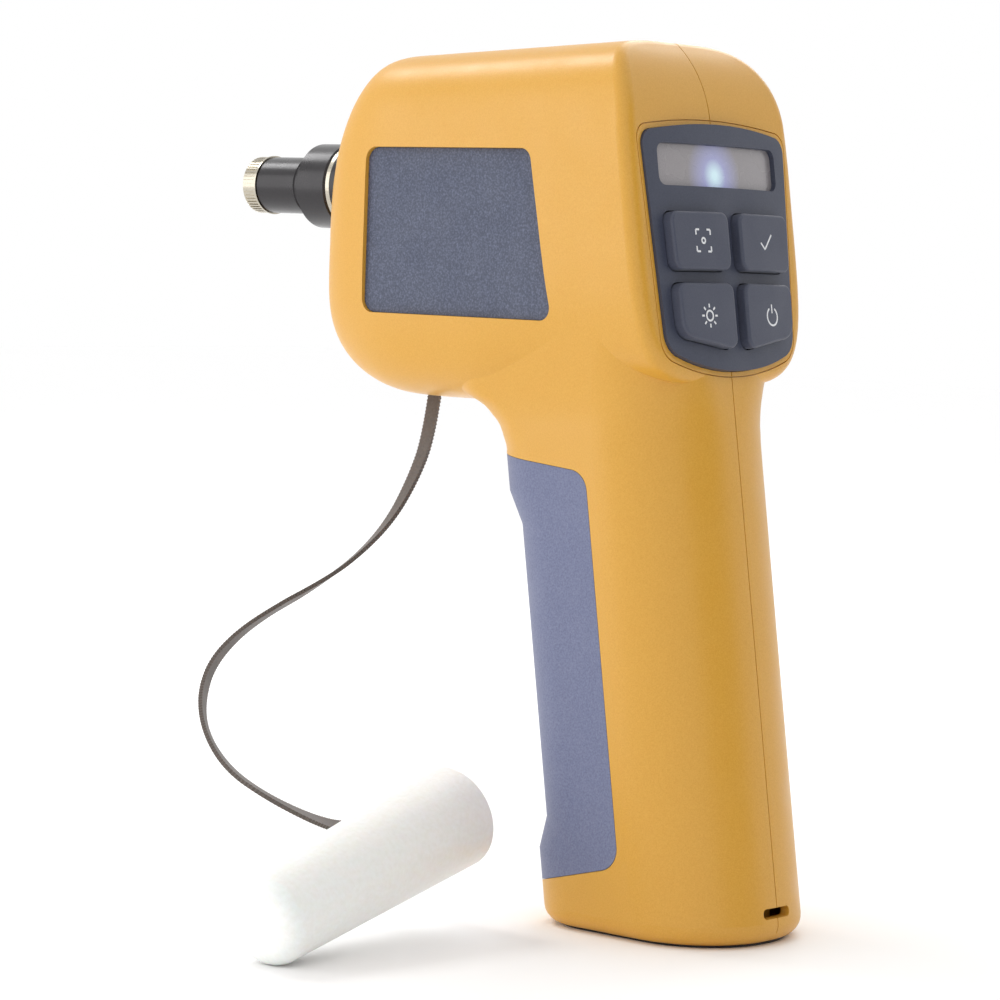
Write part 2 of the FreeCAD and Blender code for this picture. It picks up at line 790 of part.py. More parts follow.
foot_outline = handle_outline(foot_height, read("foot_inset"), read("foot_inset"), read("foot_inset"))
foot_prism = Part.Face(foot_outline).extrude(Vector(0, 0, read("foot_seat")))
shell = shell.cut(foot_prism)
socket_hole = block(
    (-read("socket_width") / 2.0 - fit, read("socket_width") / 2.0 + fit),
    (
        -read("socket_setback") - read("socket_thickness") / 2.0 - fit,
        -read("socket_setback") + read("socket_thickness") / 2.0 + fit,
    ),
    (-1.0, foot_height + wall + 1.0),
)
shell = shell.cut(socket_hole)
slot_half = read("lanyard_width") / 2.0
slot_middle, slot_half_height = read("lanyard_height"), read("lanyard_slot") / 2.0
slot = block(
    (-slot_half, slot_half),
    (-WIDE, lanyard_y + 1.6),
    (slot_middle - slot_half_height, slot_middle + slot_half_height),
)
slot = slot.makeFillet(slot_half_height * 0.9, [e for e in slot.Edges if abs(e.Vertexes[0].Y - e.Vertexes[1].Y) > 1])
shell = shell.cut(slot)
pin_foot = Vector(0, lanyard_y, foot_height + wall - 1.0)
pin_length = lanyard_top + 1.0 - pin_foot.z
pin_hole = Part.makeCylinder(read("lanyard_pin_radius") + 0.02, pin_length, pin_foot)
shell = shell.cut(pin_hole)
anchor_half = read("strap_width") / 2.0 + 0.3
strap_hole = Part.makeCylinder(
    anchor_half, 12.0, Vector(0, read("strap_y"), read("head_under") - 4.0), Vector(0, 0, 1)
)
shell = shell.cut(strap_hole)

seam_half = read("seam_gap") / 2.0
seam_plane = block((-seam_half, seam_half), (-WIDE, 3 * WIDE), (-1.0, 4 * WIDE))
shell = shell.cut(seam_plane.cut(trim))
seat, pilot_depth = read("screw_seat"), read("pilot_depth")
left = shell.common(block((-WIDE, 0), (-WIDE, 2 * WIDE), (-1, 4 * WIDE)))
right = shell.common(block((0, WIDE), (-WIDE, 2 * WIDE), (-1, 4 * WIDE)))
for y, z in boss_places:
    left = left.cut(x_rod(read("pilot_radius") + 0.02, -pilot_depth, 1.0, y, z))
    right = right.cut(x_rod(read("pilot_radius") + 0.15, -1.0, seat + 1.0, y, z))
    right = right.cut(x_rod(read("counterbore_radius"), seat, WIDE, y, z))
node(solid("left_shell", left), "left_housing")
node(solid("right_shell", right), "right_housing")

# Side panels: thin plates that fill the flat recesses.
for label, sign in (("left_side_panel", -1), ("right_side_panel", 1)):
    plane = sign * read("panel_plane")
    panel = side_prism(panel_corners(), panel_radii, sign * panel_floor, plane)
    node(solid(label + "_plate", panel), label)

# Soft grip: a channel that wraps the front of the handle.
grip_shape = grip_prism(0.0).common(lower_outer.fuse(neck_outer)).cut(core)
node(solid("grip_channel", grip_shape), "grip_insert")

# Rubber foot with an opening for the data socket.
foot_shape = Part.Face(
    handle_outline(foot_height, read("foot_inset") + fit, read("foot_inset") + fit, read("foot_inset") + fit)
).extrude(Vector(0, 0, foot_height + read("foot_seat")))
foot_shape.translate(Vector(0, 0, -foot_height))
node(solid("foot_pad", foot_shape.cut(socket_hole)), "base_pad")

# Steel weight round the lowest boss, which keeps the camera standing on its foot.
weight_form = handle_form(
    grip_side + wall - 0.3 + fit, wall + fit, grip_front + wall, foot_height + wall, False
)[0]
weight_low = read("weight_low")
weight_block = block((-WIDE, WIDE), (-WIDE, read("weight_front")), (weight_low, weight_low + read("weight_height")))
weight = weight_form.common(weight_block).cut(x_rod(boss + fit, -WIDE, WIDE, *boss_places[-1]))
node(solid("weight_block", weight), "base_weight")

# Six thread-forming screws, driven from the right.
screws = []
for y, z in boss_places:
    shank = x_rod(read("pilot_radius"), seat - read("shank_length"), seat, y, z)
    head = x_rod(read("screw_head_radius"), seat, seat + read("screw_head_height"), y, z)
    drive = x_rod(0.8, seat + 0.8, seat + 4.0, y, z)
    screws.append(shank.fuse(head).cut(drive))
node(solid("screw_set", Part.makeCompound(screws)), "housing_screws")

# Keypad: a bowed bezel with a window and four rubber keys.
bow = read("bezel_bow")
bow_radius = (read("bezel_half_width") ** 2 + bow * bow) / (2.0 * bow)


def bowed(low, rise):
    """A large cylinder along the keypad that bows the face of what it trims."""
    drum = Part.makeCylinder(bow_radius, 4 * WIDE, Vector(0, -2 * WIDE, rise - bow_radius), Vector(0, 1, 0))
    return drum.common(Part.makeBox(2 * WIDE, 4 * WIDE, 40.0, Vector(-WIDE, -2 * WIDE, low)))


bezel = Part.Face(keypad_outline(0.0)).extrude(Vector(0, 0, 20.0))
bezel.translate(Vector(0, 0, read("key_floor")))
bezel = bezel.common(bowed(read("key_floor") - 1.0, read("bezel_proud") + bow))


def key_corners(column, low_row):
    """The four corners of a key in the keypad plane."""
    inner, outer = read("key_inner"), read("key_outer")
    low, high = (read("key_low"), read("key_split")) if low_row else (read("key_mid"), read("key_high"))
    outer_low = low + (3.0 if low_row else 0.0)
    taper = read("keypad_taper")
    return [
        Vector(column * inner, low, 0),
        Vector(column * (outer - taper * (read("key_high") - outer_low)), outer_low, 0),
        Vector(column * (outer - taper * (read("key_high") - high)), high, 0),
        Vector(column * inner, high, 0),
    ]


def key_prism(column, low_row, grow, low, high):
    """A prism of a key's rounded outline, grown all round."""
    corners = key_corners(column, low_row)
    middle = sum(corners, Vector()) / 4.0
    grown = [
        spot + Vector(math.copysign(grow, spot.x - middle.x), math.copysign(grow, spot.y - middle.y), 0)
        for spot in corners
    ]
    corner = read("key_corner")
    radii = [corner, corner * 1.8, corner, corner] if low_row else [corner] * 4
    prism = Part.Face(rounded_loop(grown, radii)).extrude(Vector(0, 0, high - low))
    prism.translate(Vector(0, 0, low))
    return prism


KEYS = (
    ("focus_key", -1, False),
    ("lamp_key", -1, True),
    ("power_key", 1, True),
    ("test_key", 1, False),
)
window_loop = [
    Vector(-read("window_half_width"), read("window_bottom"), 0),
    Vector(read("window_half_width"), read("window_bottom"), 0),
    Vector(read("window_half_width"), read("window_top"), 0),
    Vector(-read("window_half_width"), read("window_top"), 0),
]
window_radii = [read("window_corner")] * 4
window_face = Part.Face(rounded_loop(window_loop, window_radii))
for name, column, low_row in KEYS:
    bezel = bezel.cut(key_prism(column, low_row, read("key_gap"), -20.0, 20.0))
window_cut = window_face.extrude(Vector(0, 0, 40.0))
window_cut.translate(Vector(0, 0, -20.0))
bezel = bezel.cut(window_cut)
for side_sign in (-1, 1):
    post = Part.makeCylinder(
        read("post_radius"),
        read("key_floor") - read("board_front"),
        Vector(side_sign * read("post_spacing"), read("post_height"), read("board_front")),
    )
    bezel = bezel.fuse(post)
bezel_item = solid("bezel_frame_shape", bezel)
bezel_item.Placement = keypad_place
node(bezel_item, "keypad_bezel")

pane = window_face.extrude(Vector(0, 0, 20.0))
pane.translate(Vector(0, 0, read("key_floor") + 0.4))
pane = pane.common(bowed(read("key_floor"), read("key_floor") + 0.4 + read("window_thickness") + bow * 0.6))
pane_item = solid("window_pane", pane)
pane_item.Placement = keypad_place
node(pane_item, "status_window")

for name, column, low_row in KEYS:
    key_top = read("bezel_proud") + read("key_rise") + bow
    stem = key_prism(column, low_row, 0.0, read("key_back"), 20.0).common(bowed(-20.0, key_top))
    rim = [edge for edge in stem.Edges if edge.BoundBox.ZMin > 0.5]
    stem = stem.makeFillet(read("key_edge"), rim)
    lip = key_prism(column, low_row, read("key_lip"), read("key_back"), read("key_floor") - 0.05)
    key_item = solid(name + "_cap", stem.fuse(lip))
    key_item.Placement = keypad_place
    node(key_item, name)


def on_keypad(item):
    """Seat a body on the keypad plane."""
    item.Placement = Placement(Vector(), Rotation(Vector(1, 0, 0), 90))
    bind(item, Placement__Base__y="keypad_y", Placement__Base__z="keypad_centre")
    return bind(item, Placement__Rotation__Angle="(90 - lean) * 1 deg")


board = plate(
    "keypad_board_body",
    rectangle("-key_outer - 0.4", "key_outer + 0.4", "key_low + 1.2", "window_top"),
    "board_thickness",
)
board_sketch = board.Group[0]
board_sketch.AttachmentOffset = Placement()
bind(board_sketch, AttachmentOffset__Base__z="board_front - board_thickness")
node(on_keypad(board), "keypad_board")

switch_boxes = []
for name, column, low_row in KEYS:
    corners = key_corners(column, low_row)
    middle = sum(corners, Vector()) / 4.0
    half = read("switch_width") / 2.0
    body_box = block(
        (middle.x - half, middle.x + half),
        (middle.y - half, middle.y + half),
        (read("board_front"), read("board_front") + read("switch_height") * 0.7),
    )
    plunger = Part.makeCylinder(half * 0.5, read("switch_height"), Vector(middle.x, middle.y, read("board_front")))
    switch_boxes.append(body_box.fuse(plunger))
switch_item = solid("switch_set", Part.makeCompound(switch_boxes))
switch_item.Placement = keypad_place
node(switch_item, "key_switches")

lamp_half = read("lamp_width") / 2.0
lamp_y = (read("window_bottom") + read("window_top")) / 2.0
lamps = [
    block(
        (x - lamp_half, x + lamp_half),
        (lamp_y - lamp_half, lamp_y + lamp_half),
        (read("board_front"), read("board_front") + 1.2),
    )
    for x in (-10.0, 0.0, 10.0)
]
lamp_item = solid("lamp_set", Part.makeCompound(lamps))
lamp_item.Placement = keypad_place
node(lamp_item, "status_lamps")

# Probe, turned parts in line along Y.
flange = turned(
    "flange_body",
    [
        ("flange_bore", "chassis_front"),
        ("shoulder_radius", "chassis_front"),
        ("shoulder_radius", "chassis_front + shoulder_length"),
        ("flange_radius", "chassis_front + shoulder_length"),
        ("flange_radius", "flange_end - 2.2 * groove_width"),
        ("flange_radius - groove_depth", "flange_end - 1.9 * groove_width"),
        ("flange_radius - groove_depth", "flange_end"),
        ("flange_bore", "flange_end"),
    ],
)
node(flange, "probe_flange")

barrel = turned(
    "barrel_body",
    [
        ("barrel_bore", "flange_end - spigot_length"),
        ("flange_bore", "flange_end - spigot_length"),
        ("flange_bore", "flange_end"),
        ("barrel_radius - groove_depth", "flange_end"),
        ("barrel_radius", "flange_end + groove_depth"),
        ("barrel_radius", "barrel_end - 0.2"),
        ("barrel_radius - 0.2", "barrel_end"),
        ("tip_spigot_radius", "barrel_end"),
        ("tip_spigot_radius", "barrel_end - tip_spigot_length"),
        ("barrel_bore", "barrel_end - tip_spigot_length"),
    ],
)
node(barrel, "lens_barrel")

tip = turned(
    "tip_body",
    [
        ("tip_bore", "barrel_end - tip_spigot_length"),
        ("tip_spigot_radius", "barrel_end - tip_spigot_length"),
        ("tip_spigot_radius", "barrel_end"),
        ("tip_radius", "barrel_end"),
        ("tip_radius", "barrel_end + tip_ring_place"),
        ("tip_radius + tip_ring_height", "barrel_end + tip_ring_place + tip_ring_width / 2"),
        ("tip_radius", "barrel_end + tip_ring_place + tip_ring_width"),
        ("tip_radius", "tip_end - 0.15"),
        ("tip_radius - 0.15", "tip_end"),
        ("neck_radius", "tip_end"),
        ("neck_radius", "tip_end + neck_length"),
        ("tip_bore", "tip_end + neck_length"),
    ],
)
node(tip, "tip_barrel")

guide = turned(
    "guide_body",
    [
        ("ferrule_bore", "tip_end + neck_length - guide_tail"),
        ("guide_stem_radius", "tip_end + neck_length - guide_tail"),
        ("guide_stem_radius", "tip_end + neck_length"),
        ("guide_flange_radius", "tip_end + neck_length"),
        ("guide_flange_radius", "tip_end + neck_length + guide_flange"),
        ("guide_radius", "tip_end + neck_length + guide_flange"),
        ("guide_radius", "nut_end + guide_nose"),
        ("ferrule_bore", "nut_end + guide_nose"),
    ],
)
node(guide, "ferrule_guide")

nut = turned(
    "nut_body",
    [
        ("neck_radius + running_fit", "tip_end + running_fit"),
        ("nut_flange_radius", "tip_end + running_fit"),
        ("nut_flange_radius", "tip_end + nut_flange_width"),
        ("nut_radius", "tip_end + nut_flange_width"),
        ("nut_radius", "nut_end - nut_chamfer"),
        ("nut_radius - nut_chamfer", "nut_end"),
        ("guide_radius + 3 * running_fit", "nut_end"),
        ("guide_radius + 3 * running_fit", "nut_end - nut_lip"),
        ("neck_radius + running_fit", "nut_end - nut_lip"),
    ],
)
document.recompute()
knurl_sketch = outline(
    nut,
    "knurl_outline",
    "XZ_Plane",
    [
        ("-knurl_width / 2", "nut_radius - knurl_depth"),
        ("knurl_width / 2", "nut_radius - knurl_depth"),
        ("knurl_width", "nut_flange_radius + 1"),
        ("-knurl_width", "nut_flange_radius + 1"),
    ],
)
bind(knurl_sketch, AttachmentOffset__Base__z="-tip_end - nut_flange_width")
knurl = nut.newObject("PartDesign::Pocket", "knurl_groove")
knurl.Profile = knurl_sketch
knurl.Reversed = False
bind(knurl, Length="nut_length")
document.recompute()
smooth_volume = nut.Group[1].Shape.Volume
if abs(knurl.Shape.Volume - smooth_volume) < 1e-6:
    knurl.Reversed = True
    document.recompute()
ring = nut.newObject("PartDesign::PolarPattern", "knurl_ring")
ring.Originals = [knurl]
ring.Axis = (nut.Group[0], ["V_Axis"])
ring.Angle = 360
bind(ring, Occurrences="knurl_count")
nut.Tip = ring
node(nut, "tip_nut")

cell = turned(
    "cell_body",
    [
        ("cell_bore", "flange_end - spigot_length"),
        ("barrel_bore", "flange_end - spigot_length"),
        ("barrel_bore", "flange_end - spigot_length + cell_length"),
        ("cell_bore", "flange_end - spigot_length + cell_length"),
    ],
)
node(cell, "objective_cell")


def lens(name, radius, y_from, thickness):
    """A lens with two bulging faces, seated by its rim."""
    rim = rod(name + "_rim", radius, (y_from, f"{y_from} + {thickness}"))
    ball_radius = f"(({radius}) * ({radius}) + lens_bulge * lens_bulge) / (2 * lens_bulge)"
    faces = []
    for side_name, centre in (
        ("front", f"{y_from} + {thickness} - ({ball_radius})"),
        ("rear", f"{y_from} + ({ball_radius})"),
    ):
        ball = document.addObject("Part::Sphere", f"{name}_{side_name}")
        bind(ball, Radius=ball_radius, Placement__Base__y=centre, Placement__Base__z="axis_height")
        faces.append(ball)
    common = document.addObject("Part::MultiCommon", name + "_glass")
    common.Shapes = [rim] + faces
    return common


node(lens("objective", "cell_bore", "flange_end - spigot_length + 4", "objective_thickness"), "objective_lens")

# Optical chassis: a plate with three walls, a shelf for the beam splitter and two rods.
half = "chassis_half_width"
chassis_solid = fuse(
    "chassis_solid",
    box("chassis_plate_box", (f"-{half}", half), ("chassis_rear", "chassis_front"), ("chassis_floor", "chassis_floor + chassis_plate")),
    box("front_wall", (f"-{half}", half), ("chassis_front - chassis_wall", "chassis_front"), ("chassis_floor", "axis_height + chassis_rise")),
    box("middle_wall", (f"-{half}", half), ("mid_wall", "mid_wall + chassis_wall"), ("chassis_floor", "axis_height + chassis_rise")),
    box("rear_wall", (f"-{half}", half), ("chassis_rear", "chassis_rear + chassis_wall"), ("chassis_floor", "axis_height + chassis_rise")),
    box(
        "splitter_shelf",
        ("-splitter_size / 2 - 1", "splitter_size / 2 + 1"),
        ("chassis_rear", "mid_wall + chassis_wall"),
        ("axis_height - splitter_size / 2 - shelf_thickness", "axis_height - splitter_size / 2"),
    ),
)
chassis = cut(
    "chassis_cut",
    chassis_solid,
    rod("front_light_hole", "flange_bore", ("chassis_front - chassis_wall - 1", "chassis_front + 1")),
    rod("rear_light_hole", "light_bore", ("chassis_rear - 1", "mid_wall + chassis_wall + 1")),
    rod("rod_hole_left", "rod_radius", ("mid_wall - 1", "chassis_front + 1"), "-rod_spacing"),
    rod("rod_hole_right", "rod_radius", ("mid_wall - 1", "chassis_front + 1"), "rod_spacing"),
    rod("drive_hole", "screw_radius + running_fit", ("mid_wall - 1", "chassis_front - screw_end"), "0", "drive_height"),
    box(
        "splitter_clear",
        ("-splitter_size / 2", "splitter_size / 2"),
        ("chassis_rear + splitter_place", "chassis_rear + splitter_place + splitter_size"),
        ("axis_height - splitter_size / 2", "axis_height + splitter_size / 2"),
    ),
)
node(chassis, "optical_chassis")

guide_rods = fuse(
    "guide_rod_pair",
    rod("guide_rod_left", "rod_radius", ("mid_wall", "chassis_front"), "-rod_spacing"),
    rod("guide_rod_right", "rod_radius", ("mid_wall", "chassis_front"), "rod_spacing"),
)
node(guide_rods, "guide_rods")

carriage_rear = "mid_wall + chassis_wall + carriage_place - carriage_length / 2"
carriage_front = "mid_wall + chassis_wall + carriage_place + carriage_length / 2"
carriage_span = (f"{carriage_rear} - 1", f"{carriage_front} + 1")
carriage = cut(
    "carriage_cut",
    box(
        "carriage_block",
        ("-carriage_half_width", "carriage_half_width"),
        (carriage_rear, carriage_front),
        ("axis_height - carriage_drop", "axis_height + carriage_rise"),
    ),
    rod("carriage_lens_bore", "carriage_bore", carriage_span),
    rod("carriage_left_bore", "rod_radius + running_fit", carriage_span, "-rod_spacing"),
    rod("carriage_right_bore", "rod_radius + running_fit", carriage_span, "rod_spacing"),
    rod("carriage_nut_bore", "screw_radius + running_fit", carriage_span, "0", "drive_height"),
)
node(carriage, "focus_carriage")
node(lens("focus", "carriage_bore", f"{carriage_rear} + 3", "focus_lens_thickness"), "focus_lens")

drive = rod("lead_screw_rod", "screw_radius", ("mid_wall + running_fit", "chassis_front - screw_end - running_fit"), "0", "drive_height")
node(drive, "lead_screw")
motor = fuse(
    "motor_shape",
    rod("motor_can", "motor_radius", ("mid_wall - motor_length", "mid_wall"), "0", "drive_height"),
    rod("motor_cap", "motor_radius / 2", ("mid_wall - motor_length - 1", "mid_wall"), "0", "drive_height"),
)
node(motor, "focus_motor")

splitter = box(
    "splitter_cube",
    ("-splitter_size / 2", "splitter_size / 2"),
    ("chassis_rear + splitter_place", "chassis_rear + splitter_place + splitter_size"),
    ("axis_height - splitter_size / 2", "axis_height + splitter_size / 2"),
)
node(splitter, "beam_splitter")
lamp = fuse(
    "lamp_shape",
    box(
        "lamp_plate",
        ("-splitter_size / 2", "splitter_size / 2"),
        ("chassis_rear + splitter_place", "chassis_rear + splitter_place + splitter_size"),
        ("axis_height + splitter_size / 2", "axis_height + splitter_size / 2 + lamp_board"),
    ),
    box(
        "lamp_chip",
        ("-lamp_width / 2", "lamp_width / 2"),
        ("chassis_rear + splitter_place + 3", "chassis_rear + splitter_place + 3 + lamp_width"),
        ("axis_height + splitter_size / 2 + lamp_board", "axis_height + splitter_size / 2 + lamp_board + 1"),
    ),
)
node(lamp, "illumination_lamp")
sensor = fuse(
    "sensor_shape",
    box(
        "sensor_plate",
        ("-sensor_board", "sensor_board"),
        ("chassis_rear - board_thickness", "chassis_rear"),
        ("axis_height - sensor_board", "axis_height + sensor_board"),
    ),
    box(
        "sensor_chip",
        ("-sensor_size * 0.7", "sensor_size * 0.7"),
        ("chassis_rear - board_thickness", "chassis_rear + 1.2"),
        ("axis_height - sensor_size * 0.6", "axis_height + sensor_size * 0.6"),
    ),
)
node(sensor, "image_sensor_board")

# Main board under the chassis.
main_board = fuse(
    "main_board_shape",
    box(
        "main_board_plate",
        ("-main_board_half_width", "main_board_half_width"),
        ("main_board_start", "main_board_start + main_board_length"),
        ("main_board_height", "main_board_height + board_thickness"),
    ),
    box(
        "main_chip",
        ("-chip_size / 2", "chip_size / 2"),
        ("main_board_start + 8", "main_board_start + 8 + chip_size"),
        ("main_board_height + board_thickness", "main_board_height + board_thickness + chip_height"),
    ),
    box(
        "memory_chip",
        ("-chip_size / 4", "chip_size / 4"),
        ("main_board_start + 28", "main_board_start + 28 + chip_size * 0.8"),
        ("main_board_height + board_thickness", "main_board_height + board_thickness + chip_height"),
    ),
)
node(main_board, "main_board")


def lean_back(item):
    """Lean an item with the handle, its origin on the handle's rear line."""
    item.Placement = Placement(Vector(), Rotation(Vector(-1, 0, 0), 10))
    return bind(item, Placement__Base__y="-heel", Placement__Rotation__Angle="lean * 1 deg")


battery = document.addObject("PartDesign::Body", "battery_body")
battery_sketch = battery.newObject("Sketcher::SketchObject", "battery_circle")
battery_sketch.AttachmentSupport = [(origin_plane(battery, "XY_Plane"), "")]
battery_sketch.MapMode = "FlatFace"
bind(battery_sketch, AttachmentOffset__Base__z="cell_start")
battery_sketch.addGeometry(Part.Circle(Vector(0, 20, 0), Vector(0, 0, 1), 9.0))
battery_sketch.addConstraint(Sketcher.Constraint("PointOnObject", 0, 3, -2))
across = battery_sketch.addConstraint(Sketcher.Constraint("DistanceY", -1, 1, 0, 3, 20.0))
round_size = battery_sketch.addConstraint(Sketcher.Constraint("Radius", 0, 9.0))
battery_sketch.setExpression(f"Constraints[{across}]", link("cell_depth"))
battery_sketch.setExpression(f"Constraints[{round_size}]", link("cell_radius"))
battery_pad = battery.newObject("PartDesign::Pad", "battery_pad")
battery_pad.Profile = battery_sketch
bind(battery_pad, Length="cell_height")
node(lean_back(battery), "battery_cell")

cradle = plate(
    "cradle_body",
    rectangle("-cradle_half_width", "cradle_half_width", "cell_depth - cell_radius - cradle_back", "cell_depth"),
    "cell_height + 2 * cradle_floor",
)
bind(cradle.Group[0], AttachmentOffset__Base__z="cell_start - cradle_floor")
document.recompute()
trough = cradle.newObject("Sketcher::SketchObject", "cradle_trough")
trough.AttachmentSupport = [(origin_plane(cradle, "XY_Plane"), "")]
trough.MapMode = "FlatFace"
bind(trough, AttachmentOffset__Base__z="cell_start")
trough.addGeometry(Part.Circle(Vector(0, 20, 0), Vector(0, 0, 1), 9.0))
trough.addConstraint(Sketcher.Constraint("PointOnObject", 0, 3, -2))
across = trough.addConstraint(Sketcher.Constraint("DistanceY", -1, 1, 0, 3, 20.0))
round_size = trough.addConstraint(Sketcher.Constraint("Radius", 0, 9.0))
trough.setExpression(f"Constraints[{across}]", link("cell_depth"))
trough.setExpression(f"Constraints[{round_size}]", link("cell_radius + 0.02"))
groove = cradle.newObject("PartDesign::Pocket", "cradle_pocket")
groove.Profile = trough
groove.Reversed = True
bind(groove, Length="cell_height")
node(lean_back(cradle), "battery_cradle")

# Data socket on its own small board, reached through the foot.
socket_half = "socket_width / 2"
socket_back = "-socket_setback - socket_thickness / 2"
socket_front = "-socket_setback + socket_thickness / 2"
socket = cut(
    "socket_shape",
    box("socket_shell", (f"-{socket_half}", socket_half), (socket_back, socket_front), ("socket_low", "socket_low + socket_depth")),
    box(
        "socket_mouth",
        (f"-{socket_half} + socket_wall", f"{socket_half} - socket_wall"),
        (f"{socket_back} + socket_wall", f"{socket_front} - socket_wall"),
        ("socket_low - 1", "socket_low + socket_depth - 1"),
    ),
)
node(socket, "data_socket")
port_board = box(
    "port_board_plate",
    ("-port_board_width / 2", "port_board_width / 2"),
    ("-socket_setback - port_board_length / 2", "-socket_setback + port_board_length / 2"),
    ("socket_low + socket_depth", "socket_low + socket_depth + board_thickness"),
)
node(port_board, "port_board")

# Steel pin behind the lanyard slot.
pin_shape = Part.makeCylinder(read("lanyard_pin_radius"), pin_length, pin_foot)
node(solid("lanyard_rod", pin_shape), "lanyard_pin")

# Strap anchor: a plug in the underside of the head, flush with it.
strap_under = read("head_under") + ellipse_drop(
    read("anchor_setback"), read("nose_low_length"), read("nose_low_round")
)
anchor_low = strap_under + read("anchor_recess")
pad_top = read("head_under") + read("anchor_pad_height")
anchor = Part.makeCylinder(
    anchor_half - 0.05, pad_top - anchor_low + read("anchor_collar_thickness"), Vector(0, read("strap_y"), anchor_low)
)
collar = Part.makeCylinder(
    anchor_half + read("anchor_collar"), read("anchor_collar_thickness"), Vector(0, read("strap_y"), pad_top)
)
node(solid("anchor_plug", anchor.fuse(collar)), "strap_anchor")

# Protective cap, lying beside the handle on its closed end.
cap_wall, cap_length = read("cap_wall"), read("cap_length")
cap = turned(
    "cap_body",
    [
        ("0", "0"),
        ("cap_end_radius", "0"),
        ("cap_mouth_radius", "cap_length"),
        ("cap_mouth_radius - cap_wall", "cap_length"),
        ("cap_end_radius - cap_wall", "1.5 * cap_wall"),
        ("0", "1.5 * cap_wall"),
    ],
    None,
)
rounded(
    cap,
    "cap_end_round",
    "cap_round",
    lambda edge: abs(edge.BoundBox.YMax) < 0.01 and abs(edge.BoundBox.XMax - read("cap_end_radius")) < 0.01,
)
turn_angle, tilt_angle = math.radians(read("cap_turn")), math.radians(read("cap_tilt"))
cap_direction = Vector(
    math.cos(turn_angle) * math.cos(tilt_angle),
    math.sin(turn_angle) * math.cos(tilt_angle),
    math.sin(tilt_angle),
)
# The cap rests on the rounded edge of its closed end.
cap_base = Vector(read("cap_x"), read("cap_y"), read("cap_rest_height"))
cap_place = Placement(cap_base, Rotation(Vector(0, 1, 0), cap_direction))
cap.Placement = cap_place
bind(cap, Placement__Base__x="cap_x", Placement__Base__y="cap_y", Placement__Base__z="cap_rest_height")
node(cap, "dust_cap")

# Moulded lug on the far side of the cap, which holds the strap's end.
cap_side = Vector(0, 0, 1).cross(cap_direction).normalize()
lug_at, lug_length = read("lug_place"), read("lug_length")
lug_wall = read("cap_end_radius") + (read("cap_mouth_radius") - read("cap_end_radius")) * lug_at / cap_length
lug_half = read("strap_width") / 2.0 + read("lug_margin")
lug_top = lug_wall + read("strap_width") + 1.5 * read("lug_margin")
lug = block((-lug_half, lug_half), (0.0, lug_length), (lug_wall - lug_half, lug_top))
lug = lug.makeFillet(1.0, [edge for edge in lug.Edges if edge.BoundBox.ZMin > lug_wall])
cap_cone = Part.makeCone(
    read("cap_end_radius"), read("cap_mouth_radius"), cap_length, Vector(0, -lug_at, 0), Vector(0, 1, 0)
)
lug_item = solid("lug_block", lug.cut(cap_cone))
lug_item.Placement = Placement(
    cap_base + cap_direction * lug_at, Rotation(Vector(), cap_direction, cap_side, "ZYX")
)
node(lug_item, "strap_lug")

# Tether strap: its route from the anchor to the lug, chosen by hand.
strap_route = [
    Vector(0.0, read("strap_y"), anchor_low + read("press_depth")),
    Vector(-2.0, 76.0, 101.4),
    Vector(-6.0, 76.6, 92.1),
    Vector(-13.0, 77.1, 82.3),
    Vector(-23.0, 78.2, 74.3),
    Vector(-35.0, 79.1, 68.5),
    Vector(-47.0, 80.2, 63.9),
    Vector(-57.0, 80.7, 59.1),
    Vector(-65.0, 80.0, 53.6),
    Vector(-71.0, 76.8, 48.0),
    Vector(-76.0, 71.5, 43.0),
    Vector(-80.0, 64.2, 38.4),
    Vector(-81.8, 56.3, 34.0),
    Vector(-79.6, 49.3, 30.2),
    Vector(-74.0, 45.3, 26.6),
    Vector(-66.0, 44.6, 23.4),
    Vector(-58.0, 45.9, 21.4),
    Vector(-50.5, 47.1, 20.6),
]


def cord_tube(route, radius):
    """A round tube along straight runs joined by tangent arcs."""
    path, start, bends = [], route[0], []
    for last, corner, following in zip(route, route[1:], route[2:]):
        inward, onward = (last - corner), (following - corner)
        shorter = min(inward.Length, onward.Length)
        inward.normalize()
        onward.normalize()
        half = (math.pi - inward.getAngle(onward)) / 2.0
        reach = 0.45 * shorter
        bend = reach / math.tan(half)
        bends.append(bend)
        middle = corner + (inward + onward).normalize() * (bend / math.cos(half) - bend)
        path.append(line(start, corner + inward * reach))
        path.append(arc(corner + inward * reach, middle, corner + onward * reach))
        start = corner + onward * reach
    path.append(line(start, route[-1]))
    wire = Part.Wire(path)
    ring = Part.Wire(Part.Circle(route[0], route[1] - route[0], radius).toShape())
    return wire.makePipeShell([ring], True, False), wire.Length, bends


strap, strap_length, strap_bends = cord_tube(strap_route, read("strap_width") / 2.0)
strap_volume = math.pi * (read("strap_width") / 2.0) ** 2 * strap_length
print("strap length", round(strap_length, 1), "volume share", round(strap.Volume / strap_volume, 4))
print("strap radii", [round(bend, 1) for bend in strap_bends])
node(solid("strap_tube", strap), "tether_strap")

document.recompute()
for item in document.Objects:
    if "Invalid" in item.State or "Error" in item.State:
        raise RuntimeError(f"{item.Name} failed: {item.State}")
for item in pieces:
    if item.Shape.isNull() or not item.Shape.isValid():
        raise RuntimeError(f"{item.Label} has no valid shape")

os.makedirs("parts", exist_ok=True)
for item in pieces:
    item.Shape.exportStep(os.path.join("parts", item.Label + ".step"))
    print(item.Label, len(item.Shape.Solids), round(item.Shape.Volume, 1))
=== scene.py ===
import bmesh
import bpy
from math import cos, pi, radians, sin
from mathutils import Matrix, Vector
from mathutils.bvhtree import BVHTree


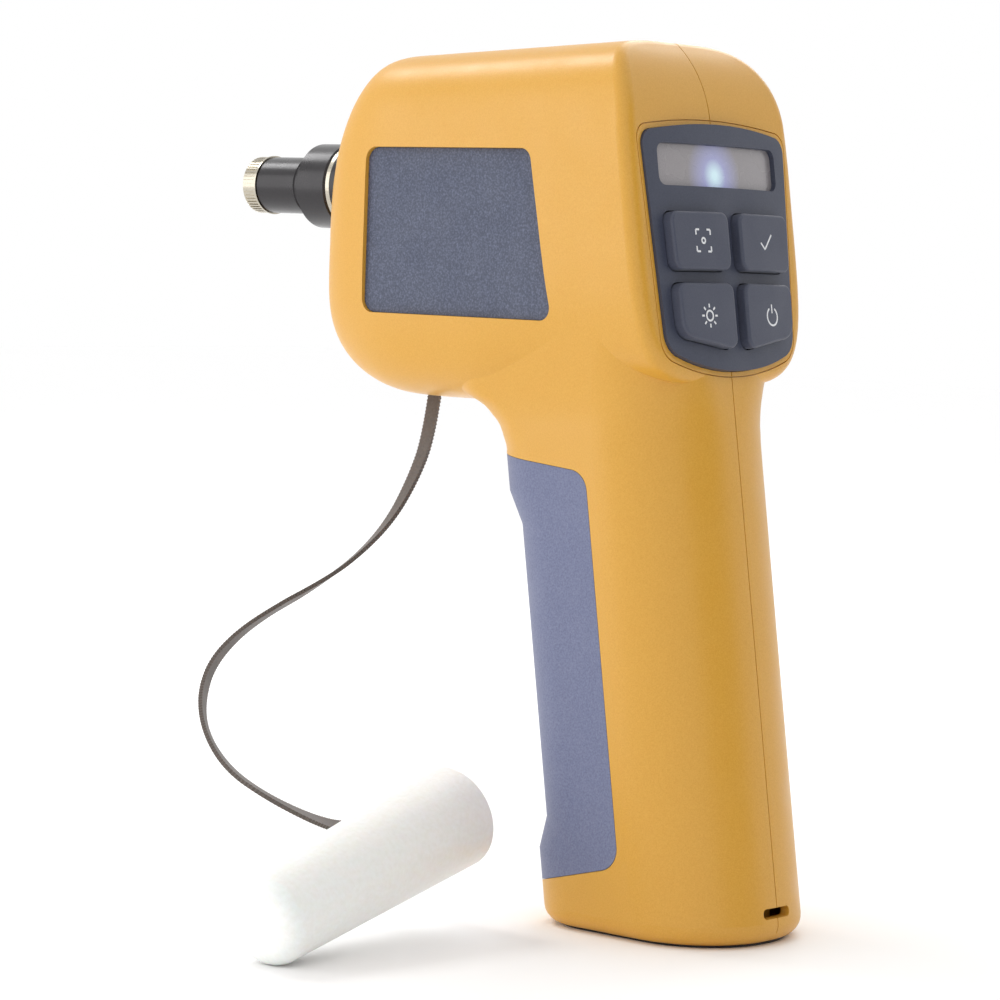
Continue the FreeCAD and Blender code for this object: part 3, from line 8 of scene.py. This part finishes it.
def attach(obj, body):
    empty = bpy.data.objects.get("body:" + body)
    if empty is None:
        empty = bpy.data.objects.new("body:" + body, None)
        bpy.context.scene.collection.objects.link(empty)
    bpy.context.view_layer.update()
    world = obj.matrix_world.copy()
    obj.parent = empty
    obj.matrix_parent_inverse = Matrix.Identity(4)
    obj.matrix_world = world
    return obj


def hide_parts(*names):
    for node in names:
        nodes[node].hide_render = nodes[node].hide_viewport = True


# Hand-held fibre inspection camera with a pistol grip, in metres: X to the user's right,
# Y forward along the probe, Z up.
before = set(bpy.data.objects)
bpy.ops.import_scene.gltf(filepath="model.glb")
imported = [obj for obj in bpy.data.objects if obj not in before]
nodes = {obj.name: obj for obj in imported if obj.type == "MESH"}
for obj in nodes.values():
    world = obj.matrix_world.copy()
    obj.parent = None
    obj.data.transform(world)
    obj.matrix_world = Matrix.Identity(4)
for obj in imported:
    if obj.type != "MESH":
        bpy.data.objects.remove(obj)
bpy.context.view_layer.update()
millimetre = 0.001

# Camera: the long-lens view of the photograph, from behind the camera's user and to the left.
# Its angles, lens and distance were fitted to the object's outline.
view_azimuth, view_elevation, view_roll = radians(-49.53), radians(4.04), radians(2.02)
view_distance = 0.78508
view_target = Vector((0.0, 0.05578, 0.08845))
view_lens, sensor_width = 126.03, 36.0
backward = Vector(
    (
        sin(view_azimuth) * cos(view_elevation),
        -cos(view_azimuth) * cos(view_elevation),
        sin(view_elevation),
    )
)
level_right = (-backward).cross(Vector((0, 0, 1))).normalized()
level_up = backward.cross(level_right)
view_right = cos(view_roll) * level_right + sin(view_roll) * level_up
view_up = -sin(view_roll) * level_right + cos(view_roll) * level_up
camera_data = bpy.data.cameras.new("photo_view")
camera_data.lens = view_lens
camera_data.sensor_width = sensor_width
camera = bpy.data.objects.new("photo_view", camera_data)
view_turn = Matrix((view_right, view_up, backward)).transposed().to_4x4()
camera.matrix_world = Matrix.Translation(view_target + backward * view_distance) @ view_turn
bpy.context.scene.collection.objects.link(camera)
bpy.context.scene.camera = camera
bpy.context.scene.view_settings.view_transform = "Standard"

# Studio: a white floor under an even white sky, with three soft boxes. A black card behind the
# user's side holds light back from the faces that look that way.
floor_half, floor_roughness = 3.0, 0.9
stage_middle = Vector((0.0, 0.04, 0.1))
card_place, card_half = Vector((0.1, -0.95, 0.35)), 0.45


def linear(code):
    """The linear RGBA of an sRGB hex colour."""
    parts = [int(code[i : i + 2], 16) / 255.0 for i in (1, 3, 5)]
    return [p / 12.92 if p <= 0.04045 else ((p + 0.055) / 1.055) ** 2.4 for p in parts] + [1.0]


def finish(name, values):
    """A material with one Principled shader, and that shader."""
    material = bpy.data.materials.new(name)
    material.use_nodes = True
    shader = material.node_tree.nodes["Principled BSDF"]
    for socket, value in values.items():
        shader.inputs[socket].default_value = value
    return material, shader


def make_piece(name, mesh_maker, material, body="root"):
    """A new object at the origin from a bmesh, riding on a body unless it is part of the stage."""
    mesh = bpy.data.meshes.new(name)
    mesh_maker.to_mesh(mesh)
    mesh_maker.free()
    mesh.materials.append(material)
    piece = bpy.data.objects.new(name, mesh)
    bpy.context.scene.collection.objects.link(piece)
    if body:
        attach(piece, body)
    return piece


def facing_stage(place):
    """The turn of a flat thing at a place that looks at the middle of the stage."""
    return (place - stage_middle).to_track_quat("Z", "Y")


def soft_box(name, place, size, power):
    """A square area light that faces the middle of the stage."""
    light = bpy.data.lights.new(name, "AREA")
    light.shape = "SQUARE"
    light.size = size
    light.energy = power
    item = bpy.data.objects.new(name, light)
    item.location = place
    item.rotation_euler = facing_stage(Vector(place)).to_euler()
    bpy.context.scene.collection.objects.link(item)


floor_paint, _ = finish("floor paint", {"Base Color": linear("#ffffff"), "Roughness": floor_roughness})
floor_mesh = bmesh.new()
bmesh.ops.create_grid(floor_mesh, x_segments=1, y_segments=1, size=floor_half)
floor = make_piece("studio_floor", floor_mesh, floor_paint, body=None)

card_paint, _ = finish("black card", {"Base Color": linear("#050505"), "Roughness": 1.0})
card_mesh = bmesh.new()
bmesh.ops.create_grid(card_mesh, x_segments=1, y_segments=1, size=card_half)
card_turn = facing_stage(card_place).to_matrix().to_4x4()
bmesh.ops.transform(card_mesh, matrix=Matrix.Translation(card_place) @ card_turn, verts=card_mesh.verts)
card = make_piece("flag_card", card_mesh, card_paint, body=None)

world = bpy.data.worlds.new("studio")
world.use_nodes = True
world.node_tree.nodes["Background"].inputs["Color"].default_value = linear("#ffffff")
world.node_tree.nodes["Background"].inputs["Strength"].default_value = 1.0
bpy.context.scene.world = world
soft_box("key_box", place=(-0.85, 0.8, 0.35), size=0.7, power=2.4)
soft_box("rim_box", place=(0.7, 0.3, 0.7), size=0.5, power=2.0)
soft_box("top_box", place=(-0.06, 0.78, 0.98), size=0.35, power=2.5)

# Tether strap: a thin flat nylon strip with finely toothed edges, moulded with the cap. It
# leaves the underside of the nose, twists as it hangs and turns back to the lug on the cap.
strap_width, strap_thickness = 3.2 * millimetre, 0.9 * millimetre
tooth_pitch, tooth_depth = 0.85 * millimetre, 0.22 * millimetre
strap_points = [
    (0.0, 0.0761, 0.11288),
    (-0.002, 0.0760, 0.1014),
    (-0.006, 0.0766, 0.0921),
    (-0.013, 0.0771, 0.0823),
    (-0.023, 0.0782, 0.0743),
    (-0.035, 0.0791, 0.0685),
    (-0.047, 0.0802, 0.0639),
    (-0.057, 0.0807, 0.0591),
    (-0.065, 0.0800, 0.0536),
    (-0.071, 0.0768, 0.0480),
    (-0.076, 0.0715, 0.0430),
    (-0.080, 0.0642, 0.0384),
    (-0.0818, 0.0563, 0.0340),
    (-0.0796, 0.0493, 0.0302),
    (-0.074, 0.0453, 0.0266),
    (-0.066, 0.0446, 0.0234),
    (-0.058, 0.0459, 0.0214),
    (-0.0505, 0.0471, 0.0206),
]
# How far the flat of the strap is turned about its own line, in degrees at shares of its length.
strap_turns = [(0.0, 25), (0.29, 70), (0.41, 84), (0.63, 126), (0.79, 155), (1.0, 178)]

strap_curve = bpy.data.curves.new("strap_route", "CURVE")
strap_curve.dimensions = "3D"
strap_line = strap_curve.splines.new("NURBS")
strap_line.points.add(len(strap_points) - 1)
for spot, place in zip(strap_line.points, strap_points):
    spot.co = (*place, 1.0)
strap_line.order_u = 3
strap_line.use_endpoint_u = True
strap_line.resolution_u = 24
route_object = bpy.data.objects.new("strap_route", strap_curve)
bpy.context.scene.collection.objects.link(route_object)
bpy.context.view_layer.update()
route_made = route_object.evaluated_get(bpy.context.evaluated_depsgraph_get())
route_mesh = bpy.data.meshes.new_from_object(route_made)
strap_path = [vertex.co.copy() for vertex in route_mesh.vertices]
bpy.data.objects.remove(route_object)


def strap_twist(share):
    """How far the strap is turned at a share of its length, eased from one row to the next."""
    for (low, a), (high, b) in zip(strap_turns, strap_turns[1:]):
        if share <= high:
            part = (share - low) / (high - low)
            return radians(a + (b - a) * part * part * (3.0 - 2.0 * part))
    return radians(strap_turns[-1][1])


def strap_frames():
    """Places along the strap at half a tooth, each with its width and thickness directions."""
    lengths = [0.0]
    for a, b in zip(strap_path, strap_path[1:]):
        lengths.append(lengths[-1] + (b - a).length)
    total = lengths[-1]
    count = int(total / (tooth_pitch / 2.0))
    frames, last_width, at = [], view_right.copy(), 0
    for step in range(count + 1):
        goal = total * step / count
        while at < len(lengths) - 2 and lengths[at + 1] < goal:
            at += 1
        part = (goal - lengths[at]) / (lengths[at + 1] - lengths[at])
        place = strap_path[at].lerp(strap_path[at + 1], part)
        along = (strap_path[at + 1] - strap_path[at]).normalized()
        last_width = (last_width - along * last_width.dot(along)).normalized()
        width = Matrix.Rotation(strap_twist(step / count), 3, along) @ last_width
        frames.append((place, width, along.cross(width)))
    return frames, total


def add(material, kind, settings=None, values=None, links=None):
    """Add a node to a material with its properties, input values and incoming links."""
    node = material.node_tree.nodes.new(kind)
    for name, value in (settings or {}).items():
        setattr(node, name, value)
    for name, value in (values or {}).items():
        node.inputs[name].default_value = value
    for name, socket in (links or {}).items():
        material.node_tree.links.new(socket, node.inputs[name])
    return node


def feed(material, shader, **links):
    """Link sockets into the shader, by the input's name with underscores for spaces."""
    for name, socket in links.items():
        material.node_tree.links.new(socket, shader.inputs[name.replace("_", " ")])


# Handling leaves clouds of more and less gloss, about as wide as a fingertip. A wave texture has
# a period of 0.314 m at a scale of one.
smudge_width = 9.0 * millimetre
wave_period = 0.314


def grain(material, shader, size, depth, shades, gloss, spread=(0.3, 0.7), ring_pitch=None):
    """Give a finish its grain, in metres.

    Noise of the grain's size takes the colour from the dark to the light shade. The grain is also
    the relief, unless a lathe left rings of a pitch along Y instead. The gloss is the least and
    the most roughness."""
    place = add(material, "ShaderNodeTexCoord")
    noise = add(
        material,
        "ShaderNodeTexNoise",
        values={"Scale": 1.0 / size, "Detail": 3.0, "Roughness": 0.6},
        links={"Vector": place.outputs["Object"]},
    )
    ramp = add(material, "ShaderNodeValToRGB", links={"Fac": noise.outputs["Fac"]})
    for element, position, code in zip(ramp.color_ramp.elements, spread, shades):
        element.position = position
        element.color = linear(code)
    relief, strength = noise, 0.6
    if ring_pitch:
        strength = 0.5
        relief = add(
            material,
            "ShaderNodeTexWave",
            settings={"bands_direction": "Y"},
            values={"Scale": wave_period / ring_pitch, "Distortion": 0.4, "Detail": 2.0},
            links={"Vector": place.outputs["Object"]},
        )
    bump = add(
        material,
        "ShaderNodeBump",
        values={"Strength": strength, "Distance": depth},
        links={"Height": relief.outputs["Fac"]},
    )
    smudges = add(
        material,
        "ShaderNodeTexNoise",
        values={"Scale": 1.0 / smudge_width, "Detail": 2.0},
        links={"Vector": place.outputs["Object"]},
    )
    level = add(
        material,
        "ShaderNodeMapRange",
        values={"From Min": 0.3, "From Max": 0.7, "To Min": gloss[0], "To Max": gloss[1]},
        links={"Value": smudges.outputs["Fac"]},
    )
    feed(material, shader, Base_Color=ramp.outputs["Color"], Normal=bump.outputs["Normal"])
    feed(material, shader, Roughness=level.outputs["Result"])


def paint(material, *names):
    """Give CAD nodes a finish."""
    for name in names:
        node = nodes[name]
        node.data.materials.clear()
        node.data.materials.append(material)


strap_steps, strap_length = strap_frames()
strap_mesh = bmesh.new()
loops = []
for step, (place, width, depth) in enumerate(strap_steps):
    half = strap_width / 2.0 - (tooth_depth if step % 2 else 0.0)
    slim = strap_thickness / 2.0
    corners = [(-half, -slim), (half, -slim), (half, slim), (-half, slim)]
    loops.append([strap_mesh.verts.new(place + width * across + depth * out) for across, out in corners])
for lower, upper in zip(loops, loops[1:]):
    for side in range(4):
        after = (side + 1) % 4
        strap_mesh.faces.new((lower[side], lower[after], upper[after], upper[side]))
strap_mesh.faces.new(loops[0][::-1])
strap_mesh.faces.new(loops[-1])
bmesh.ops.recalc_face_normals(strap_mesh, faces=strap_mesh.faces)

# Nylon dyed dark brown: the thin strip lets a little light through and has a low waxy gloss.
nylon, nylon_shader = finish("moulded nylon", {"Subsurface Weight": 0.05, "Subsurface Scale": 0.001})
grain(nylon, nylon_shader, 0.5 * millimetre, 0.01 * millimetre, ("#544b45", "#665c55"), (0.4, 0.5))
strap = make_piece("toothed_strap", strap_mesh, nylon)
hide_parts("tether_strap")
paint(nylon, "strap_anchor")

# Dust cap and its lug: white polyethylene, moulded with a slight taper. It lets light in under
# the skin, and its shine is soft.
polythene, polythene_shader = finish(
    "moulded polyethylene", {"Subsurface Weight": 0.2, "Subsurface Scale": 0.003}
)
grain(
    polythene,
    polythene_shader,
    1.1 * millimetre,
    0.008 * millimetre,
    shades=("#f6f5f1", "#fdfdfb"),
    gloss=(0.34, 0.42),
)
paint(polythene, "dust_cap", "strap_lug")

# Housing halves: an ABS blend in a warm yellow, moulded in two shells that screws hold together.
# Spark erosion in the mould leaves a fine even grain and a satin gloss.
abs_blend, abs_shader = finish(
    "moulded yellow ABS", {"Subsurface Weight": 0.04, "Subsurface Scale": 0.002}
)
grain(
    abs_blend,
    abs_shader,
    0.32 * millimetre,
    0.012 * millimetre,
    shades=("#d29a35", "#dca643"),
    gloss=(0.32, 0.4),
)
paint(abs_blend, "left_housing", "right_housing")

# Side panels: thin moulded plates, seated in flat recesses in the head. Their leather grain
# has sparse pale flecks on its high spots.
panel_plastic, panel_shader = finish("grained polycarbonate", {})
grain(
    panel_plastic,
    panel_shader,
    0.45 * millimetre,
    0.03 * millimetre,
    shades=("#3f4558", "#656c84"),
    gloss=(0.5, 0.6),
    spread=(0.42, 0.74),
)
paint(panel_plastic, "left_side_panel", "right_side_panel")

# Grip insert: a soft elastomer moulded over the front of the handle. It is matt, and skin and
# dust leave it a little chalky.
elastomer, elastomer_shader = finish(
    "soft-touch elastomer", {"Sheen Weight": 0.2, "Sheen Roughness": 0.5}
)
grain(
    elastomer,
    elastomer_shader,
    0.4 * millimetre,
    0.03 * millimetre,
    shades=("#646a88", "#7b819d"),
    gloss=(0.72, 0.85),
)
paint(elastomer, "grip_insert")

# Keypad: a moulded frame round four silicone rubber keys, seated in the rear face of the head.
# Blasted moulds give both a fine matt skin, and the rubber takes on a faint bloom.
frame_plastic, frame_shader = finish("moulded ABS frame", {})
grain(
    frame_plastic,
    frame_shader,
    0.3 * millimetre,
    0.01 * millimetre,
    shades=("#3b3f4f", "#454a5b"),
    gloss=(0.42, 0.52),
)
paint(frame_plastic, "keypad_bezel")
silicone, silicone_shader = finish("silicone rubber", {"Sheen Weight": 0.1})
grain(
    silicone,
    silicone_shader,
    0.25 * millimetre,
    0.008 * millimetre,
    shades=("#404454", "#4a4e5f"),
    gloss=(0.5, 0.62),
)
paint(silicone, "focus_key", "test_key", "lamp_key", "power_key")

# Signs on the keys: white pad print, so thin that it follows each key's surface. They are
# generic: focus brackets, a tick, a sun for the lamp and the usual mark for power.
keypad_lean = radians(8.9)
keypad_origin = Vector((0.0, -0.00334, 0.146))
keypad_across = Vector((1.0, 0.0, 0.0))
keypad_up = Vector((0.0, sin(keypad_lean), cos(keypad_lean)))
keypad_out = Vector((0.0, -cos(keypad_lean), sin(keypad_lean)))
key_column = 11.0 * millimetre
upper_row, lower_row = 1.2 * millimetre, -14.6 * millimetre
print_lift, print_drop = 0.02 * millimetre, 20.0 * millimetre
stroke_width = 0.42 * millimetre
straight_steps, round_steps = 8, 40
sun_radius, ray_start, ray_end, ray_count = 1.05 * millimetre, 1.7 * millimetre, 2.5 * millimetre, 8
power_radius, power_gap = 1.9 * millimetre, 60
power_low, power_high = 0.7 * millimetre, 2.6 * millimetre
bracket_reach, bracket_leg, aim_radius = 2.3 * millimetre, 1.1 * millimetre, 0.55 * millimetre
tick_left = Vector((-2.0, 0.0)) * millimetre
tick_foot = Vector((-0.6, -1.4)) * millimetre
tick_right = Vector((2.2, 1.8)) * millimetre


def straight_stroke(start, end):
    """A straight stroke as rows of two points across it."""
    side = (end - start).orthogonal().normalized() * stroke_width / 2.0
    spots = [start.lerp(end, step / straight_steps) for step in range(straight_steps + 1)]
    return [(spot - side, spot + side) for spot in spots]


def ray_at(degrees):
    """The direction at an angle from the key's right, as one unit."""
    return Vector((cos(radians(degrees)), sin(radians(degrees))))


def round_stroke(radius, first, last):
    """A round stroke about the middle, between two angles in degrees."""
    rays = [ray_at(first + (last - first) * step / round_steps) for step in range(round_steps + 1)]
    inner, outer = radius - stroke_width / 2.0, radius + stroke_width / 2.0
    return [(ray * inner, ray * outer) for ray in rays]


def lay_sign(key, across, up, strokes):
    """Strokes laid on a key's own surface about a spot on the keypad."""
    key_mesh = bmesh.new()
    key_mesh.from_mesh(nodes[key].data)
    surface = BVHTree.FromBMesh(key_mesh)
    key_mesh.free()
    sign = bmesh.new()
    for rows in strokes:
        laid = []
        for row in rows:
            pair = []
            for spot in row:
                flat = keypad_origin + keypad_across * (across + spot.x) + keypad_up * (up + spot.y)
                hit = surface.ray_cast(flat + keypad_out * print_drop, -keypad_out)[0]
                pair.append(sign.verts.new(hit + keypad_out * print_lift))
            laid.append(pair)
        for low, high in zip(laid, laid[1:]):
            sign.faces.new((low[0], low[1], high[1], high[0]))
    bmesh.ops.recalc_face_normals(sign, faces=sign.faces)
    for face in sign.faces:
        if face.normal.dot(keypad_out) < 0.0:
            face.normal_flip()
    make_piece(key + "_sign", sign, ink, body=key + "_body")


ink, ink_shader = finish("white pad print", {})
grain(ink, ink_shader, 0.2 * millimetre, 0.004 * millimetre, ("#d9dade", "#eeeff1"), (0.45, 0.6))
sun = [round_stroke(sun_radius, 0, 360)]
for step in range(ray_count):
    ray = ray_at(360 * step / ray_count)
    sun.append(straight_stroke(ray * ray_start, ray * ray_end))
lay_sign("lamp_key", -key_column, lower_row, sun)
power_mark = [
    round_stroke(power_radius, 90 + power_gap / 2, 450 - power_gap / 2),
    straight_stroke(Vector((0.0, power_low)), Vector((0.0, power_high))),
]
lay_sign("power_key", key_column, lower_row, power_mark)
brackets = [round_stroke(aim_radius, 0, 360)]
for across in (-1, 1):
    for upward in (-1, 1):
        corner = Vector((across, upward)) * bracket_reach
        brackets.append(straight_stroke(corner, corner - Vector((across * bracket_leg, 0.0))))
        brackets.append(straight_stroke(corner, corner - Vector((0.0, upward * bracket_leg))))
lay_sign("focus_key", -key_column, upper_row, brackets)
tick = [straight_stroke(tick_foot, tick_left), straight_stroke(tick_foot, tick_right)]
lay_sign("test_key", key_column, upper_row, tick)

# Status window: a sheet of smoked, diffusing acrylic over three lamps. One is lit, and its light
# spreads through the sheet from a pale core to a violet rim.
lamp_across, lamp_up = -1.0 * millimetre, 15.6 * millimetre
glow_core, glow_edge, glow_rim_share = 1.0 * millimetre, 9.0 * millimetre, 0.35
smoked, smoked_shader = finish(
    "smoked acrylic", {"Coat Weight": 0.5, "Coat Roughness": 0.15, "Emission Strength": 0.65}
)
grain(smoked, smoked_shader, 0.2 * millimetre, 0.003 * millimetre, ("#8d888b", "#9b9698"), (0.22, 0.3))
coordinates = add(smoked, "ShaderNodeTexCoord")
from_lamp = add(
    smoked,
    "ShaderNodeVectorMath",
    settings={"operation": "DISTANCE"},
    values={1: keypad_origin + keypad_across * lamp_across + keypad_up * lamp_up},
    links={0: coordinates.outputs["Object"]},
)
falloff = add(
    smoked,
    "ShaderNodeMapRange",
    values={"From Min": glow_core, "From Max": glow_edge},
    links={"Value": from_lamp.outputs["Value"]},
)
glow = add(smoked, "ShaderNodeValToRGB", links={"Fac": falloff.outputs["Result"]})
glow.color_ramp.elements[0].color = linear("#c4f0fb")
glow.color_ramp.elements[1].color = linear("#000000")
glow.color_ramp.elements.new(glow_rim_share).color = linear("#5f6db4")
feed(smoked, smoked_shader, Emission_Color=glow.outputs["Color"])
paint(smoked, "status_window")

# Probe: aluminium barrels, turned and black anodised, with a nickel-plated knurled nut and a
# steel guide. The lathe's rings, too fine to show, are drawn as coarse as they need to be.
anodised, anodised_shader = finish(
    "black anodised aluminium", {"Metallic": 0.4, "Coat Weight": 0.25, "Coat Roughness": 0.18}
)
grain(
    anodised,
    anodised_shader,
    0.5 * millimetre,
    0.004 * millimetre,
    shades=("#191619", "#231f23"),
    gloss=(0.26, 0.36),
    ring_pitch=0.12 * millimetre,
)
paint(anodised, "probe_flange", "lens_barrel", "tip_barrel", "objective_cell")
nickel, nickel_shader = finish("nickel plate", {"Metallic": 1.0})
grain(nickel, nickel_shader, 0.3 * millimetre, 0.003 * millimetre, ("#aaa496", "#bdb6a8"), (0.18, 0.28))
paint(nickel, "tip_nut")
steel, steel_shader = finish("turned steel", {"Metallic": 1.0})
grain(
    steel,
    steel_shader,
    0.4 * millimetre,
    0.003 * millimetre,
    shades=("#bcbcbd", "#cfcfcf"),
    gloss=(0.24, 0.34),
    ring_pitch=0.1 * millimetre,
)
paint(steel, "ferrule_guide", "guide_rods", "lead_screw", "focus_motor", "lanyard_pin")

# Bright ring: a turned and nickel-plated band in the groove between the flange and the wide
# barrel, with its edges broken.
probe_axis = Vector((0.0, 0.0, 0.1578))
ring_place, ring_width = 102.5 * millimetre, 1.3 * millimetre
ring_radius, ring_depth = 9.6 * millimetre, 0.3 * millimetre
ring_edge, ring_steps = 0.12 * millimetre, 96
merge_distance, sharp_angle = 1e-6, 1.0
section = [
    (ring_radius - ring_depth, 0.0),
    (ring_radius, 0.0),
    (ring_radius, ring_width),
    (ring_radius - ring_depth, ring_width),
]
ring_mesh = bmesh.new()
corners = [
    ring_mesh.verts.new(probe_axis + Vector((radius, ring_place + along, 0.0))) for radius, along in section
]
edges = [ring_mesh.edges.new(pair) for pair in zip(corners, corners[1:] + corners[:1])]
bmesh.ops.spin(
    ring_mesh,
    geom=corners + edges,
    cent=probe_axis,
    axis=(0.0, 1.0, 0.0),
    angle=2.0 * pi,
    steps=ring_steps,
    use_merge=True,
)
bmesh.ops.remove_doubles(ring_mesh, verts=ring_mesh.verts, dist=merge_distance)
bmesh.ops.bevel(
    ring_mesh,
    geom=[edge for edge in ring_mesh.edges if edge.calc_face_angle(0.0) > sharp_angle],
    offset=ring_edge,
    segments=2,
    profile=0.5,
    affect="EDGES",
    material=-1,
)
bmesh.ops.recalc_face_normals(ring_mesh, faces=ring_mesh.faces)
make_piece("bright_ring", ring_mesh, nickel)

# Sheet and machined steel inside the handle, with the screws and the socket: zinc plate, a
# little cloudy.
plated, plated_shader = finish("zinc-plated steel", {"Metallic": 1.0})
grain(plated, plated_shader, 0.7 * millimetre, 0.006 * millimetre, ("#a9abae", "#c3c4c5"), (0.32, 0.45))
paint(plated, "housing_screws", "data_socket", "key_switches", "battery_cradle", "base_weight")

# Optical chassis and focus carriage: black nylon filled with glass fibres, which leave its
# moulded skin dull and slightly mottled.
nylon_glass, nylon_glass_shader = finish("glass-filled nylon", {})
grain(
    nylon_glass,
    nylon_glass_shader,
    0.6 * millimetre,
    0.01 * millimetre,
    shades=("#262628", "#343436"),
    gloss=(0.45, 0.6),
)
paint(nylon_glass, "optical_chassis", "focus_carriage")

# Lenses, beam splitter and lamp bodies: clear polished glass and resin with a thin coating.
optics, optics_shader = finish("coated glass", {"Transmission Weight": 0.9, "IOR": 1.52})
grain(optics, optics_shader, 2.0 * millimetre, 0.0005 * millimetre, ("#dbe6ee", "#e6eef3"), (0.03, 0.07))
paint(optics, "objective_lens", "focus_lens", "beam_splitter", "status_lamps")

# Circuit boards: glass-fibre laminate under a glossy green solder mask, slightly mottled.
mask, mask_shader = finish("green solder mask", {"Coat Weight": 0.3})
grain(mask, mask_shader, 1.2 * millimetre, 0.01 * millimetre, ("#174c2c", "#21633b"), (0.3, 0.42))
paint(mask, "keypad_board", "main_board", "port_board", "image_sensor_board", "illumination_lamp")

# Battery cell: a steel can in a shrink sleeve of blue film, slightly uneven.
sleeve, sleeve_shader = finish("shrink sleeve", {"Coat Weight": 0.2})
grain(sleeve, sleeve_shader, 1.5 * millimetre, 0.01 * millimetre, ("#3a689f", "#4474ad"), (0.22, 0.34))
paint(sleeve, "battery_cell")

# Base pad: a foot let into the handle's underside, painted dark grey: a thin dark line at the base.
dark_foot, foot_shader = finish("dark foot finish", {"Sheen Weight": 0.1})
grain(dark_foot, foot_shader, 0.35 * millimetre, 0.02 * millimetre, ("#212125", "#2d2d31"), (0.65, 0.8))
paint(dark_foot, "base_pad")
